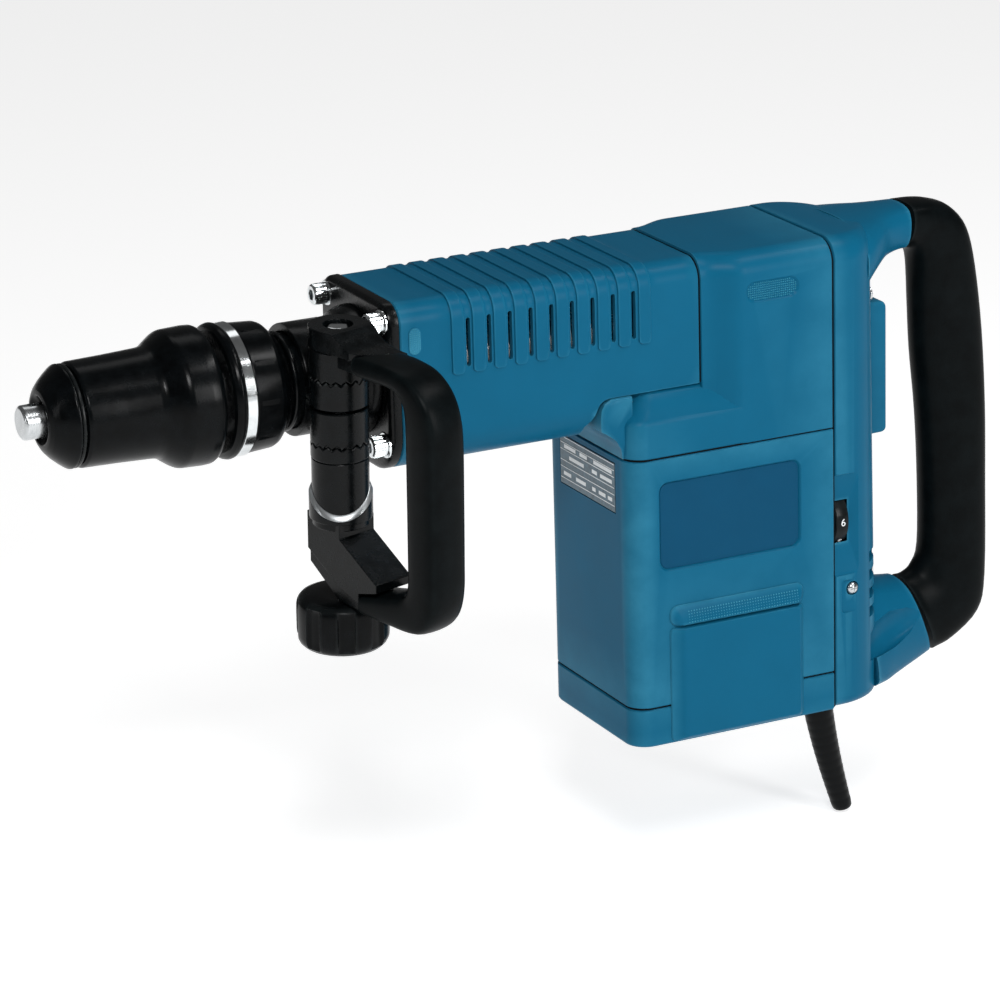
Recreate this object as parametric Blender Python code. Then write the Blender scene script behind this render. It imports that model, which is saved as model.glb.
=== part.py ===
"""Electric demolition hammer with a D rear handle and a swivelling auxiliary handle.

Metres, +Z up. The origin is the centre of the motor's flat base. The tool axis runs along X
at the height TOOL_Z, with the chisel end at -X and the rear handle at +X.
"""

import math

import bmesh
import bpy
from mathutils import Matrix, Vector

for item in list(bpy.data.objects):
    bpy.data.objects.remove(item, do_unlink=True)

# Driving dimensions
GAP = 0.0003  # clearance between neighbouring pieces
TOOL_Z = 0.2345  # height of the tool axis over the base
HALF_W = 0.0527  # half the width of the motor and rear housings
WALL = 0.004  # wall of the plastic housings
BASE_Z = 0.0230  # seam between base cap and motor housing
DECK_Z = 0.1702  # seam between motor housing and gear housing
MOTOR_FRONT = -0.0660
REAR_SEAM = 0.0645  # seam between motor side and rear housing
BARREL_FRONT = -0.1990
BARREL_REAR = -0.0160
BARREL_HALF_W = 0.0442
BARREL_TOP = 0.2796
BARREL_BOTTOM = 0.1824
NECK_R = 0.0262
HOLDER_R = 0.0200
COLUMN = (-0.2365, -0.0440)  # axis of the auxiliary handle's clamp column
SWING = math.radians(15)  # the auxiliary handle's rest angle from -Y toward +X
LEAN = math.radians(3)  # how far the clamp and its handle are turned round the tool axis at rest
CRANK_X = -0.0380  # axis of the crank gear
CRANK_R = 0.0120  # throw of the crank pin
ROD_LENGTH = 0.0620
GEAR_TEETH = 34
PINION_TEETH = 12

# Colours
BLUE = (0.012, 0.130, 0.270)
BLACK = (0.012, 0.013, 0.014)
DARK = (0.03, 0.032, 0.034)


def material(name, colour, roughness, metallic=0.0):
    made = bpy.data.materials.new(name)
    made.use_nodes = True
    made.diffuse_color = (*colour, 1)
    shader = made.node_tree.nodes["Principled BSDF"]
    shader.inputs["Base Color"].default_value = (*colour, 1)
    shader.inputs["Roughness"].default_value = roughness
    shader.inputs["Metallic"].default_value = metallic
    return made


HOUSING = material("blue_housing", BLUE, 0.38)
RUBBER = material("black_rubber", BLACK, 0.6)
GLOSS = material("black_plastic", BLACK, 0.3)
CASTING = material("black_casting", DARK, 0.35, 0.5)
STEEL = material("steel", (0.55, 0.56, 0.57), 0.25, 1.0)
CHROME = material("chrome", (0.75, 0.76, 0.77), 0.12, 1.0)
COPPER = material("copper", (0.75, 0.35, 0.18), 0.35, 1.0)
CARBON = material("carbon", (0.05, 0.05, 0.05), 0.8)
LABEL = material("label_panel", (0.010, 0.075, 0.165), 0.35)
LENS = material("lamp_lens", (0.75, 0.78, 0.8), 0.1)
CIRCUIT = material("circuit_board", (0.02, 0.18, 0.08), 0.5)


# Mesh helpers
def axis_point(axis, along, u, v):
    """A point from its distance along an axis and its two coordinates across that axis."""
    return {"X": (along, u, v), "Y": (u, along, v), "Z": (u, v, along)}[axis]


def skin(rings, looped=False):
    """A closed mesh through rings of points; a ring of one point is a tip."""
    bm = bmesh.new()
    rows = [[bm.verts.new(p) for p in ring] for ring in rings]
    pairs = list(zip(rows, rows[1:]))
    if looped:
        pairs.append((rows[-1], rows[0]))
    for a, b in pairs:
        count = max(len(a), len(b))
        for k in range(count):
            n = (k + 1) % count
            corners = [a[k % len(a)], a[n % len(a)], b[n % len(b)], b[k % len(b)]]
            bm.faces.new(list(dict.fromkeys(corners)))
    if not looped:
        for row in (rows[0], rows[-1]):
            if len(row) > 2:
                bm.faces.new(row)
    bmesh.ops.recalc_face_normals(bm, faces=bm.faces)
    return bm


def turned(axis, profile, centre=(0.0, 0.0), segments=24, ring=False):
    """A turned solid from (along, radius) points; ring closes the profile into a tube."""
    rings = []
    for along, radius in profile:
        if radius <= 0:
            rings.append([axis_point(axis, along, *centre)])
            continue
        turns = [2 * math.pi * k / segments for k in range(segments)]
        rings.append([axis_point(axis, along, centre[0] + radius * math.cos(t),
                                 centre[1] + radius * math.sin(t)) for t in turns])
    return skin(rings, looped=ring)


def tube(axis, low, high, inner, outer, centre=(0.0, 0.0), segments=24):
    profile = [(low, inner), (low, outer), (high, outer), (high, inner)]
    return turned(axis, profile, centre, segments, ring=True)


def rod(axis, low, high, radius, centre=(0.0, 0.0), segments=20):
    return turned(axis, [(low, radius), (high, radius)], centre, segments)


def prism(axis, outline, low, high):
    return skin([[axis_point(axis, along, u, v) for u, v in outline] for along in (low, high)])


def round_rect(u0, u1, v0, v1, radii, steps=4):
    """A rounded rectangle; radii are for the corners (u0,v0), (u1,v0), (u1,v1), (u0,v1)."""
    corners = [(u0, v0, 1, 1, 180), (u1, v0, -1, 1, 270), (u1, v1, -1, -1, 0), (u0, v1, 1, -1, 90)]
    points = []
    for (u, v, su, sv, start), radius in zip(corners, radii):
        for k in range(steps + 1):
            turn = math.radians(start + 90 * k / steps)
            points.append((u + su * radius + radius * math.cos(turn),
                           v + sv * radius + radius * math.sin(turn)))
    return points


def box(low, high):
    outline = [(low[0], low[1]), (high[0], low[1]), (high[0], high[1]), (low[0], high[1])]
    return prism("Z", outline, low[2], high[2])


def leaned(bm):
    """Turns a piece of the clamp or its handle round the tool axis by the lean."""
    bmesh.ops.rotate(bm, verts=bm.verts, cent=(0.0, 0.0, TOOL_Z), matrix=Matrix.Rotation(LEAN, 3, "X"))
    return bm


def add(name, bm, finish, pivot=(0, 0, 0), bevel=0.0, smooth=35):
    """Makes the node, with its origin at the pivot; bevel rounds its edges."""
    if name in LEANING:
        leaned(bm)
    bmesh.ops.translate(bm, verts=bm.verts, vec=-Vector(pivot))
    data = bpy.data.meshes.new(name)
    bm.to_mesh(data)
    bm.free()
    data.materials.append(finish)
    data.shade_smooth()
    data.set_sharp_from_angle(angle=math.radians(smooth))
    node = bpy.data.objects.new(name, data)
    node.location = pivot
    bpy.context.scene.collection.objects.link(node)
    if bevel:
        edge = node.modifiers.new("edges", "BEVEL")
        edge.width = bevel
        edge.segments = 2
        edge.limit_method = "ANGLE"
        edge.angle_limit = math.radians(40)
    return node


def combine(node, operation, *tools):
    """Cuts the tools out of the node, or joins them to it."""
    for number, bm in enumerate(tools):
        if node.name in LEANING:
            leaned(bm)
        bmesh.ops.translate(bm, verts=bm.verts, vec=-node.location)
        data = bpy.data.meshes.new(f"{node.name}_tool_{number}")
        bm.to_mesh(data)
        bm.free()
        tool = bpy.data.objects.new(data.name, data)
        tool.location = node.location
        tool.hide_render = True
        tool.display_type = "WIRE"
        bpy.context.scene.collection.objects.link(tool)
        change = node.modifiers.new(operation.lower(), "BOOLEAN")
        change.operation = operation
        change.solver = "EXACT"
        change.object = tool
    return node


def cut(node, *tools):
    return combine(node, "DIFFERENCE", *tools)


def join(node, *tools):
    return combine(node, "UNION", *tools)


AXIS = (0.0, TOOL_Z)  # the tool axis, across X
AXIS_PIVOT = (0.0, 0.0, TOOL_Z)
COLUMN_PIVOT = (COLUMN[0], COLUMN[1] * math.cos(LEAN), TOOL_Z + COLUMN[1] * math.sin(LEAN))
LEANING = ("clamp_jaw_upper", "clamp_jaw_lower", "clamp_bolt", "aux_upper_arm", "aux_lower_arm", "aux_grip",
           "clamp_knob")


# Tool holder
def tool_holder():
    profile = [(-0.3845, 0.0104), (-0.3845, 0.0150), (-0.3780, 0.0150), (-0.3780, 0.0240),
               (-0.3740, 0.0240), (-0.3740, HOLDER_R), (-0.2080, HOLDER_R), (-0.2080, 0.0130),
               (-0.3000, 0.0130), (-0.3000, 0.0104)]
    node = add("tool_holder", turned("X", profile, AXIS, ring=True), STEEL, AXIS_PIVOT)
    slots = [box((-0.3560, -0.0042, TOOL_Z + s * 0.0155 - 0.0060),
                 (-0.3300, 0.0042, TOOL_Z + s * 0.0155 + 0.0060)) for s in (-1, 1)]
    cut(node, *slots)
    for side, label in ((1, "upper"), (-1, "lower")):
        centre = (0.0, TOOL_Z + side * 0.0163)
        add(f"lock_roller_{label}", rod("X", -0.3540, -0.3320, 0.0036, centre, 12), STEEL, AXIS_PIVOT)


def tool_shank():
    profile = [(-0.4020, 0.0), (-0.4020, 0.0080), (-0.4010, 0.0096), (-0.3010, 0.0096), (-0.3010, 0.0)]
    node = add("tool_shank", turned("X", profile, AXIS), CHROME, AXIS_PIVOT)
    grooves = [box((-0.3620, -0.0040, TOOL_Z + s * 0.0100 - 0.0024),
                   (-0.3180, 0.0040, TOOL_Z + s * 0.0100 + 0.0024)) for s in (-1, 1)]
    cut(node, *grooves)


def dust_cap():
    profile = [(-0.3870, 0.0100), (-0.3912, 0.0136), (-0.3908, 0.0162), (-0.3880, 0.0205),
               (-0.3840, 0.0244), (-0.3795, 0.0278), (-0.3772, 0.0286), (-0.3766, 0.0280),
               (-0.3766, 0.0250), (-0.3785, 0.0250), (-0.3785, 0.0155), (-0.3850, 0.0155),
               (-0.3850, 0.0100)]
    add("dust_cap", turned("X", profile, AXIS, 32, ring=True), RUBBER, AXIS_PIVOT)


def locking_sleeve():
    profile = [(-0.3734, 0.0206), (-0.3734, 0.0270), (-0.3725, 0.0286),
               (-0.3300, 0.0301), (-0.3275, 0.0310), (-0.3225, 0.0356), (-0.3170, 0.0374),
               (-0.3050, 0.0383), (-0.2995, 0.0380), (-0.2972, 0.0350), (-0.2972, 0.0290),
               (-0.3070, 0.0290), (-0.3070, 0.0206), (-0.3160, 0.0206), (-0.3160, 0.0240),
               (-0.3700, 0.0240), (-0.3700, 0.0206)]
    add("locking_sleeve", turned("X", profile, AXIS, 32, ring=True), GLOSS, AXIS_PIVOT)


def sleeve_spring():
    """The spring that holds the sleeve forward, wound round the tool holder."""
    turns, per_turn, around = 4, 12, 5
    low, high, radius, wire = -0.3020, -0.2940, 0.0222, 0.0008
    rings = []
    total = turns * per_turn
    for k in range(total + 1):
        angle = 2 * math.pi * k / per_turn
        along = low + (high - low) * k / total
        ring = []
        for j in range(around):
            t = 2 * math.pi * j / around
            reach = radius + wire * math.cos(t)
            ring.append((along + wire * math.sin(t), reach * math.cos(angle),
                         TOOL_Z + reach * math.sin(angle)))
        rings.append(ring)
    add("sleeve_spring", skin(rings), STEEL, AXIS_PIVOT)


def adjusting_ring():
    profile = [(-0.2926, 0.0206), (-0.2926, 0.0342), (-0.2905, 0.0370), (-0.2885, 0.0375),
               (-0.2866, 0.0372), (-0.2866, 0.0348), (-0.2800, 0.0348), (-0.2800, 0.0356),
               (-0.2630, 0.0346), (-0.2600, 0.0325), (-0.2560, 0.0278), (-0.2560, 0.0206)]
    node = add("adjusting_ring", turned("X", profile, AXIS, 32, ring=True), GLOSS, AXIS_PIVOT)
    grooves = []
    for k in range(12):
        turn = math.radians(15 + 30 * k)
        bar = box((-0.2770, 0.0340, -0.0010), (-0.2500, 0.0390, 0.0010))
        bmesh.ops.rotate(bar, verts=bar.verts, matrix=Matrix.Rotation(turn, 3, "X"))
        bmesh.ops.translate(bar, verts=bar.verts, vec=AXIS_PIVOT)
        grooves.append(bar)
    cut(node, *grooves)
    band = tube("X", -0.2863, -0.2803, 0.0351, 0.0366, AXIS, 32)
    add("chrome_ring", band, CHROME, AXIS_PIVOT)


# Front casting, flange and screws
SCREW_SPOTS = [(side * 0.0355, TOOL_Z + lift) for side in (-1, 1) for lift in (0.0345, -0.0345)]


def front_flange():
    bore = HOLDER_R + 0.0006
    neck = [(-0.2545, bore), (-0.2545, 0.0268), (-0.2520, 0.0270), (-0.2505, NECK_R),
            (-0.2215, NECK_R), (-0.2205, 0.0290), (-0.2175, 0.0300), (-0.2150, 0.0340),
            (-0.2073, 0.0360), (-0.2073, bore)]
    add("front_neck", turned("X", neck, AXIS, 32, ring=True), CASTING)
    half = BARREL_HALF_W - 0.0003
    outline = round_rect(-half, half, BARREL_BOTTOM + 0.0003, BARREL_TOP - 0.0003,
                         (0.024, 0.024, 0.0125, 0.0125))
    holes = [rod("X", -0.3, -0.1, 0.0034, spot, 12) for spot in SCREW_SPOTS]
    node = add("front_flange", prism("X", outline, -0.2070, BARREL_FRONT - GAP), CASTING)
    cut(node, rod("X", -0.3, -0.1, bore, AXIS, 32), *holes)
    for number, spot in enumerate(SCREW_SPOTS, 1):
        profile = [(-0.2160, 0.0), (-0.2160, 0.0058), (-0.2152, 0.0064), (-0.2074, 0.0064),
                   (-0.2074, 0.0030), (-0.1900, 0.0030), (-0.1900, 0.0)]
        screw = add(f"flange_screw_{number}", turned("X", profile, spot, 16), CHROME)
        cut(screw, turned("X", [(-0.2200, 0.0032), (-0.2120, 0.0032)], spot, 6))


def barrel_section(x, inset=0.0):
    half = BARREL_HALF_W - inset
    radii = [max(r - inset, 0.004) for r in (0.0245, 0.0245, 0.0125, 0.0125)]
    outline = round_rect(-half, half, BARREL_BOTTOM + inset, BARREL_TOP - inset, radii, 5)
    return [(x, y, z) for y, z in outline]


SLOT_COUNT = 9
SLOT_PITCH = 0.01265
SLOT_START = -0.1598


def barrel_housing():
    node = add("barrel_housing", skin([barrel_section(BARREL_FRONT), barrel_section(BARREL_REAR)]),
               HOUSING)
    inner = skin([barrel_section(BARREL_FRONT + 0.007, WALL), barrel_section(BARREL_REAR + 0.01, WALL)])
    corner = prism("Y", round_rect(-0.0795, 0.0, 0.150, 0.2070, (0.001, 0.001, 0.001, 0.010)),
                   -0.08, 0.08)
    tube_bore = rod("X", -0.25, -0.18, 0.0265, AXIS, 32)
    slots = []
    for k in range(SLOT_COUNT):
        x = SLOT_START + k * SLOT_PITCH
        slots.append(box((x - 0.0012, -0.08, 0.2392), (x + 0.0012, 0.08, 0.2660)))
    holes = [rod("X", -0.3, -0.1, 0.0034, spot, 12) for spot in SCREW_SPOTS]
    cut(node, inner, corner, tube_bore, *slots, *holes)


# Striking mechanism
def striking_mechanism():
    add("hammer_cylinder", tube("X", -0.1985, -0.0720, 0.0224, 0.0258, AXIS), STEEL)
    cup = [(-0.1500, 0.0), (-0.1500, 0.0220), (-0.1000, 0.0220), (-0.1000, 0.0192),
           (-0.1440, 0.0192), (-0.1440, 0.0)]
    add("piston", turned("X", cup, AXIS), STEEL, (-0.1500, 0.0, TOOL_Z))
    add("striker", turned("X", [(-0.1820, 0.0), (-0.1820, 0.0180), (-0.1800, 0.0220), (-0.1590, 0.0220),
                                (-0.1590, 0.0)], AXIS), STEEL, (-0.1820, 0.0, TOOL_Z))
    add("anvil", turned("X", [(-0.2900, 0.0), (-0.2900, 0.0090), (-0.2880, 0.0122), (-0.1970, 0.0122),
                              (-0.1890, 0.0100), (-0.1890, 0.0)], AXIS), STEEL, (-0.2900, 0.0, TOOL_Z))
    small_end = CRANK_X - CRANK_R - ROD_LENGTH
    big_end = CRANK_X - CRANK_R
    rod_body = box((small_end, -0.0045, TOOL_Z - 0.0040), (big_end, 0.0045, TOOL_Z + 0.0040))
    link = add("connecting_rod", rod_body, STEEL, (big_end, 0.0, TOOL_Z))
    join(link, rod("Z", TOOL_Z - 0.0045, TOOL_Z + 0.0045, 0.0100, (big_end, 0.0)),
         rod("Z", TOOL_Z - 0.0045, TOOL_Z + 0.0045, 0.0060, (small_end, 0.0)))
    cut(link, rod("Z", TOOL_Z - 0.02, TOOL_Z + 0.02, 0.0053, (big_end, 0.0), 20))


def toothed(teeth, root, tip, centre_x, phase):
    """The outline of a spur gear with straight-sided teeth; phase is the first tooth's place in its pitch."""
    points = []
    for k in range(teeth):
        for offset, radius in ((-0.23, root), (-0.11, tip), (0.11, tip), (0.23, root)):
            turn = 2 * math.pi * (k + phase + offset) / teeth
            points.append((centre_x + radius * math.cos(turn), radius * math.sin(turn)))
    return points


def crank_gear():
    outline = toothed(GEAR_TEETH, 0.0263, 0.0292, CRANK_X, 0.5)
    node = add("crank_gear", prism("Z", outline, 0.2080, 0.2200), STEEL, (CRANK_X, 0.0, 0.2080))
    pin_x = CRANK_X - CRANK_R
    join(node, rod("Z", 0.2190, TOOL_Z + 0.0052, 0.0050, (pin_x, 0.0), 20),
         rod("Z", 0.1860, 0.2090, 0.0080, (CRANK_X, 0.0), 20))


# Motor
def motor():
    bottom, top = 0.0330, 0.2195
    profile = [(bottom, 0.0), (bottom, 0.0050), (0.0480, 0.0050), (0.0480, 0.0150), (0.0620, 0.0150),
               (0.0620, 0.0060), (0.0700, 0.0060), (0.0700, 0.0250), (0.1250, 0.0250),
               (0.1250, 0.0060), (0.2100, 0.0060), (0.2100, 0.0)]
    armature = add("armature", turned("Z", profile), COPPER, (0.0, 0.0, bottom))
    join(armature, prism("Z", toothed(PINION_TEETH, 0.0081, 0.0110, 0.0, 0.0), 0.2085, top))
    add("motor_stator", tube("Z", 0.0680, 0.1270, 0.0262, 0.0440), STEEL)
    fan = add("cooling_fan", tube("Z", 0.1400, 0.1430, 0.0063, 0.0400), GLOSS, (0.0, 0.0, 0.1400))
    blades = []
    for k in range(10):
        blade = box((0.0150, -0.0008, 0.1425), (0.0390, 0.0008, 0.1520))
        bmesh.ops.rotate(blade, verts=blade.verts, matrix=Matrix.Rotation(math.radians(36 * k), 3, "Z"))
        blades.append(blade)
    join(fan, *blades)
    add("lower_bearing", tube("Z", 0.0350, 0.0430, 0.0053, 0.0120), STEEL)
    add("upper_bearing", tube("Z", 0.1760, 0.1850, 0.0063, 0.0140), STEEL)
    for side, label in ((-1, "left"), (1, "right")):
        low, high = sorted((side * 0.0156, side * 0.0360))
        holder = box((-0.0060, low, 0.0490), (0.0060, high, 0.0600))
        add(f"carbon_brush_{label}", holder, CARBON, bevel=0.0006)


# Housings
def plan(x0, x1, half, radii):
    return round_rect(x0, x1, -half, half, radii)


def motor_housing():
    radii = (0.012, 0.003, 0.003, 0.012)
    outer = prism("Z", plan(MOTOR_FRONT, REAR_SEAM - GAP, HALF_W, radii), BASE_Z + GAP, DECK_Z - GAP)
    node = add("motor_housing", outer, HOUSING)
    inner = prism("Z", plan(MOTOR_FRONT + WALL, REAR_SEAM - WALL, HALF_W - WALL,
                            (0.008, 0.001, 0.001, 0.008)), 0.0, 0.2)
    pockets = []
    for side in (-1, 1):
        low, high = sorted((side * (HALF_W - 0.0018), side * 0.06))
        pockets.append(prism("Y", round_rect(-0.0480, 0.0420, 0.1040, 0.1557, (0.005,) * 4), low, high))
    plate_seat = box((-0.0700, -0.0340, 0.1360), (MOTOR_FRONT + 0.0008, 0.0340, 0.1660))
    cut(node, inner, plate_seat, *pockets)
    for side, label in ((-1, "left"), (1, "right")):
        low, high = sorted((side * (HALF_W - 0.0015), side * (HALF_W - 0.0005)))
        panel = prism("Y", round_rect(-0.0474, 0.0414, 0.1046, 0.1551, (0.0045,) * 4), low, high)
        add(f"name_panel_{label}", panel, LABEL)
    plate = box((MOTOR_FRONT - 0.0002, -0.0334, 0.1366), (MOTOR_FRONT + 0.0005, 0.0334, 0.1654))
    add("rating_plate", plate, STEEL)


def base_cap():
    rings = []
    for z, inset in ((0.0, 0.006), (0.0018, 0.002), (0.006, 0.0), (BASE_Z - GAP, 0.0)):
        outline = plan(MOTOR_FRONT + inset, REAR_SEAM - GAP - inset * 0.3, HALF_W - inset,
                       (0.012, 0.003, 0.003, 0.012))
        rings.append([(x, y, z) for x, y in outline])
    node = add("base_cap", skin(rings), HOUSING)
    cut(node, prism("Z", plan(MOTOR_FRONT + WALL, REAR_SEAM - WALL, HALF_W - WALL,
                              (0.008, 0.001, 0.001, 0.008)), 0.0045, 0.1))


def side_covers():
    for side, label in ((-1, "left"), (1, "right")):
        low, high = sorted((side * (HALF_W + GAP), side * (HALF_W + 0.0042)))
        cover = prism("Y", round_rect(-0.0430, 0.0432, 0.0012, 0.0808, (0.003,) * 4), low, high)
        add(f"side_cover_{label}", cover, HOUSING, bevel=0.0012)


def gear_housing():
    """The housing over the motor; its front widens from the barrel's width to the motor's."""
    steps = ((BARREL_REAR + GAP, BARREL_HALF_W), (-0.0110, 0.0449), (-0.0040, 0.0480), (0.0020, 0.0508),
             (0.0070, 0.0523), (0.0120, HALF_W), (REAR_SEAM - GAP, HALF_W))
    rings = []
    for x, half in steps:
        top = BARREL_TOP + 0.0004 * max(0.0, min(1.0, x / 0.01))
        outline = round_rect(-half, half, DECK_Z, top, (0.001, 0.001, 0.013, 0.013))
        rings.append([(x, y, z) for y, z in outline])
    node = add("gear_housing", skin(rings), HOUSING)
    shelf = [(MOTOR_FRONT, DECK_Z), (MOTOR_FRONT - 0.002, 0.1795), (-0.0790, 0.1850),
             (-0.0790, 0.1915), (0.0130, 0.1915), (0.0130, DECK_Z)]
    saddle = [(-0.0788, 0.1900), (-0.0788, 0.1985), (-0.0762, 0.2036), (-0.0710, 0.2066), (-0.0100, 0.2067),
              (-0.0100, 0.1900)]
    join(node, prism("Y", shelf, -HALF_W, HALF_W), prism("Y", saddle, -0.0440, 0.0440))
    front_corner = [(-0.0900, 0.0600), (MOTOR_FRONT - 0.0140, 0.0400), (MOTOR_FRONT, 0.0405),
                    (MOTOR_FRONT + 0.0120, HALF_W), (MOTOR_FRONT + 0.0120, 0.0600)]
    corners = [prism("Z", [(x, side * y) for x, y in front_corner], 0.16, 0.21) for side in (-1, 1)]
    room = prism("Y", [(MOTOR_FRONT + WALL, 0.1), (MOTOR_FRONT + WALL, 0.2030), (-0.0118, 0.2030),
                       (-0.0118, 0.2756), (REAR_SEAM - WALL, 0.2756), (REAR_SEAM - WALL, 0.1)],
                 -0.0400, 0.0400)
    mouth = box((-0.0850, -0.0305, TOOL_Z - 0.0300), (-0.0080, 0.0305, TOOL_Z + 0.0300))
    shaft_hole = rod("Z", 0.19, 0.21, 0.0095, (CRANK_X, 0.0), 20)
    cut(node, *corners, room, mouth, shaft_hole)


def boot_ring(share, radius):
    """A circle round the cord boot's axis, which leans to the rear, at a share of its length."""
    start, end = Vector((0.0790, 0.0, 0.0080)), Vector((0.0998, 0.0, -0.0862))
    across = (end - start).normalized().cross(Vector((0.0, 1.0, 0.0))) * radius
    turns = [2 * math.pi * k / 20 for k in range(20)]
    return [tuple(start.lerp(end, share) + across * math.cos(t) + Vector((0.0, radius * math.sin(t), 0.0)))
            for t in turns]


# Rear housing and D handle: the handle's section runs between the outer and the inner outline
HANDLE = [
    # outer x, outer z, inner x, inner z, half width
    (0.0920, 0.2796, 0.0920, 0.2350, 0.0450),
    (0.1000, 0.2799, 0.1000, 0.2430, 0.0402),
    (0.1090, 0.2803, 0.1100, 0.2500, 0.0345),
    (0.1180, 0.2806, 0.1190, 0.2525, 0.0290),
    (0.1290, 0.2808, 0.1290, 0.2542, 0.0228),
    (0.1400, 0.2808, 0.1375, 0.2545, 0.0175),
    (0.1500, 0.2806, 0.1425, 0.2530, 0.0170),
    (0.1590, 0.2792, 0.1450, 0.2490, 0.0168),
    (0.1690, 0.2750, 0.1460, 0.2430, 0.0168),
    (0.1790, 0.2630, 0.1462, 0.2320, 0.0168),
    (0.1850, 0.2400, 0.1465, 0.2180, 0.0168),
    (0.1900, 0.2000, 0.1478, 0.1900, 0.0168),
    (0.1925, 0.1550, 0.1515, 0.1520, 0.0168),
    (0.1930, 0.1100, 0.1535, 0.1100, 0.0168),
    (0.1930, 0.0480, 0.1535, 0.0700, 0.0168),
    (0.1880, 0.0250, 0.1490, 0.0580, 0.0170),
    (0.1700, 0.0110, 0.1440, 0.0540, 0.0175),
    (0.1560, 0.0065, 0.1380, 0.0530, 0.0180),
    (0.1400, 0.0040, 0.1250, 0.0540, 0.0210),
    (0.1150, 0.0010, 0.1100, 0.0560, 0.0290),
    (0.0980, 0.0010, 0.0980, 0.0580, 0.0360),
]
GRIP_FIRST, GRIP_LAST = 5, 17


def handle_ring(station, around=16):
    """One cross-section of the D handle, a flattened round between two outline points."""
    ox, oz, ix, iz, half = station
    centre = Vector(((ox + ix) / 2, 0.0, (oz + iz) / 2))
    reach = Vector(((ox - ix) / 2, 0.0, (oz - iz) / 2))
    ring = []
    for k in range(around):
        t = 2 * math.pi * (k + 0.5) / around
        c, s = math.cos(t), math.sin(t)
        u = math.copysign(abs(c) ** 0.75, c)
        v = math.copysign(abs(s) ** 0.75, s)
        ring.append(tuple(centre + reach * u + Vector((0.0, half * v, 0.0))))
    return ring


def between(a, b, share):
    return tuple(p + share * (q - p) for p, q in zip(a, b))


def rear_body():
    """The rear housing's outer shape, narrowing toward the back."""
    steps = ((REAR_SEAM, HALF_W), (0.0745, HALF_W), (0.0820, 0.0507), (0.0890, 0.0465),
             (0.0950, 0.0405), (0.1000, 0.0330), (0.1032, 0.0240), (0.1045, 0.0150))
    rings = []
    for x, half in steps:
        top = 0.2800 - max(0.0, x - 0.0900) * 0.15
        shoulder = min(0.014, half)
        outline = round_rect(-half, half, 0.0, top, (0.006, 0.006, shoulder, shoulder))
        rings.append([(x, y, z) for y, z in outline])
    return skin(rings)


def rear_housing():
    node = add("rear_housing", rear_body(), HOUSING)
    first, last = HANDLE[GRIP_FIRST], HANDLE[GRIP_LAST]
    top_arm = [handle_ring(s) for s in HANDLE[:GRIP_FIRST]]
    top_arm.append(handle_ring(between(first, HANDLE[GRIP_FIRST - 1], 0.03)))
    low_arm = [handle_ring(between(last, HANDLE[GRIP_LAST + 1], 0.03))]
    low_arm += [handle_ring(s) for s in HANDLE[GRIP_LAST + 1:]]
    join(node, skin(top_arm), skin(low_arm))
    room = prism("Z", [(0.0600, -0.0480), (0.0760, -0.0480), (0.0900, -0.0330), (0.0930, -0.0140),
                       (0.0930, 0.0140), (0.0900, 0.0330), (0.0760, 0.0480), (0.0600, 0.0480)],
                 0.0045, 0.2740)
    switch_slot = box((0.0800, -0.0116, 0.1464), (0.1200, 0.0116, 0.2276))
    dial_recess = prism("Y", [(0.0655, 0.0830), (0.0810, 0.0830), (0.0810, 0.1400), (0.0655, 0.1400)],
                        -0.0600, -0.0480)
    dial_slot = box((0.0655, -0.0600, 0.0985), (0.0755, -0.0400, 0.1265))
    cord_hole = skin([boot_ring(-0.2, 0.0096), boot_ring(0.3, 0.0096)])
    lamp_hole = rod("Y", -0.06, -0.04, 0.0040, (0.0764, 0.0735), 16)
    vents = []
    for k in range(4):
        z = 0.0530 + 0.0112 * k
        for side in (-1, 1):
            low, high = sorted((side * 0.0300, side * 0.0560))
            vents.append(box((0.0930, low, z - 0.0030), (0.1120, high, z + 0.0030)))
    cut(node, room, switch_slot, dial_recess, dial_slot, cord_hole, lamp_hole, *vents)


def rear_grip():
    rings = [handle_ring(between(HANDLE[GRIP_FIRST], HANDLE[GRIP_FIRST + 1], 0.0))]
    rings += [handle_ring(s) for s in HANDLE[GRIP_FIRST + 1:GRIP_LAST + 1]]
    add("rear_grip", skin(rings), RUBBER)


def controls():
    profile = [(0.1010, 0.1500), (0.1040, 0.1470), (0.1220, 0.1474), (0.1240, 0.1490),
               (0.1240, 0.2235), (0.1220, 0.2262), (0.1040, 0.2270), (0.1010, 0.2240)]
    add("switch_rocker", prism("Y", profile, -0.0110, 0.0110), HOUSING, (0.1060, 0.0, 0.1510), bevel=0.0008)
    add("switch_block", box((0.0680, -0.0100, 0.1600), (0.0930, 0.0100, 0.2100)), GLOSS, bevel=0.0008)
    add("control_module", box((0.0680, 0.0060, 0.0700), (0.0840, 0.0360, 0.1400)), CIRCUIT, bevel=0.0008)
    dial_axis = (-0.0345, 0.1125)
    wheel = [(0.0662, 0.0), (0.0662, 0.0170), (0.0670, 0.0178), (0.0738, 0.0178),
             (0.0746, 0.0170), (0.0746, 0.0)]
    add("speed_dial", turned("X", wheel, dial_axis, 36), GLOSS, (0.0704, *dial_axis))
    lamp = [(-0.0540, 0.0), (-0.0536, 0.0020), (-0.0525, 0.0036), (-0.0490, 0.0036), (-0.0490, 0.0)]
    add("service_lamp", turned("Y", lamp, (0.0764, 0.0735), 16), LENS)


def strain_relief():
    """The rubber boot of the mains cord's exit."""
    shape = ((0.0, 0.0075), (0.05, 0.0092), (0.14, 0.0092), (0.40, 0.0082), (0.75, 0.0068),
             (0.97, 0.0060), (1.0, 0.0052))
    add("cord_strain_relief", skin([boot_ring(share, radius) for share, radius in shape]), RUBBER)


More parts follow.
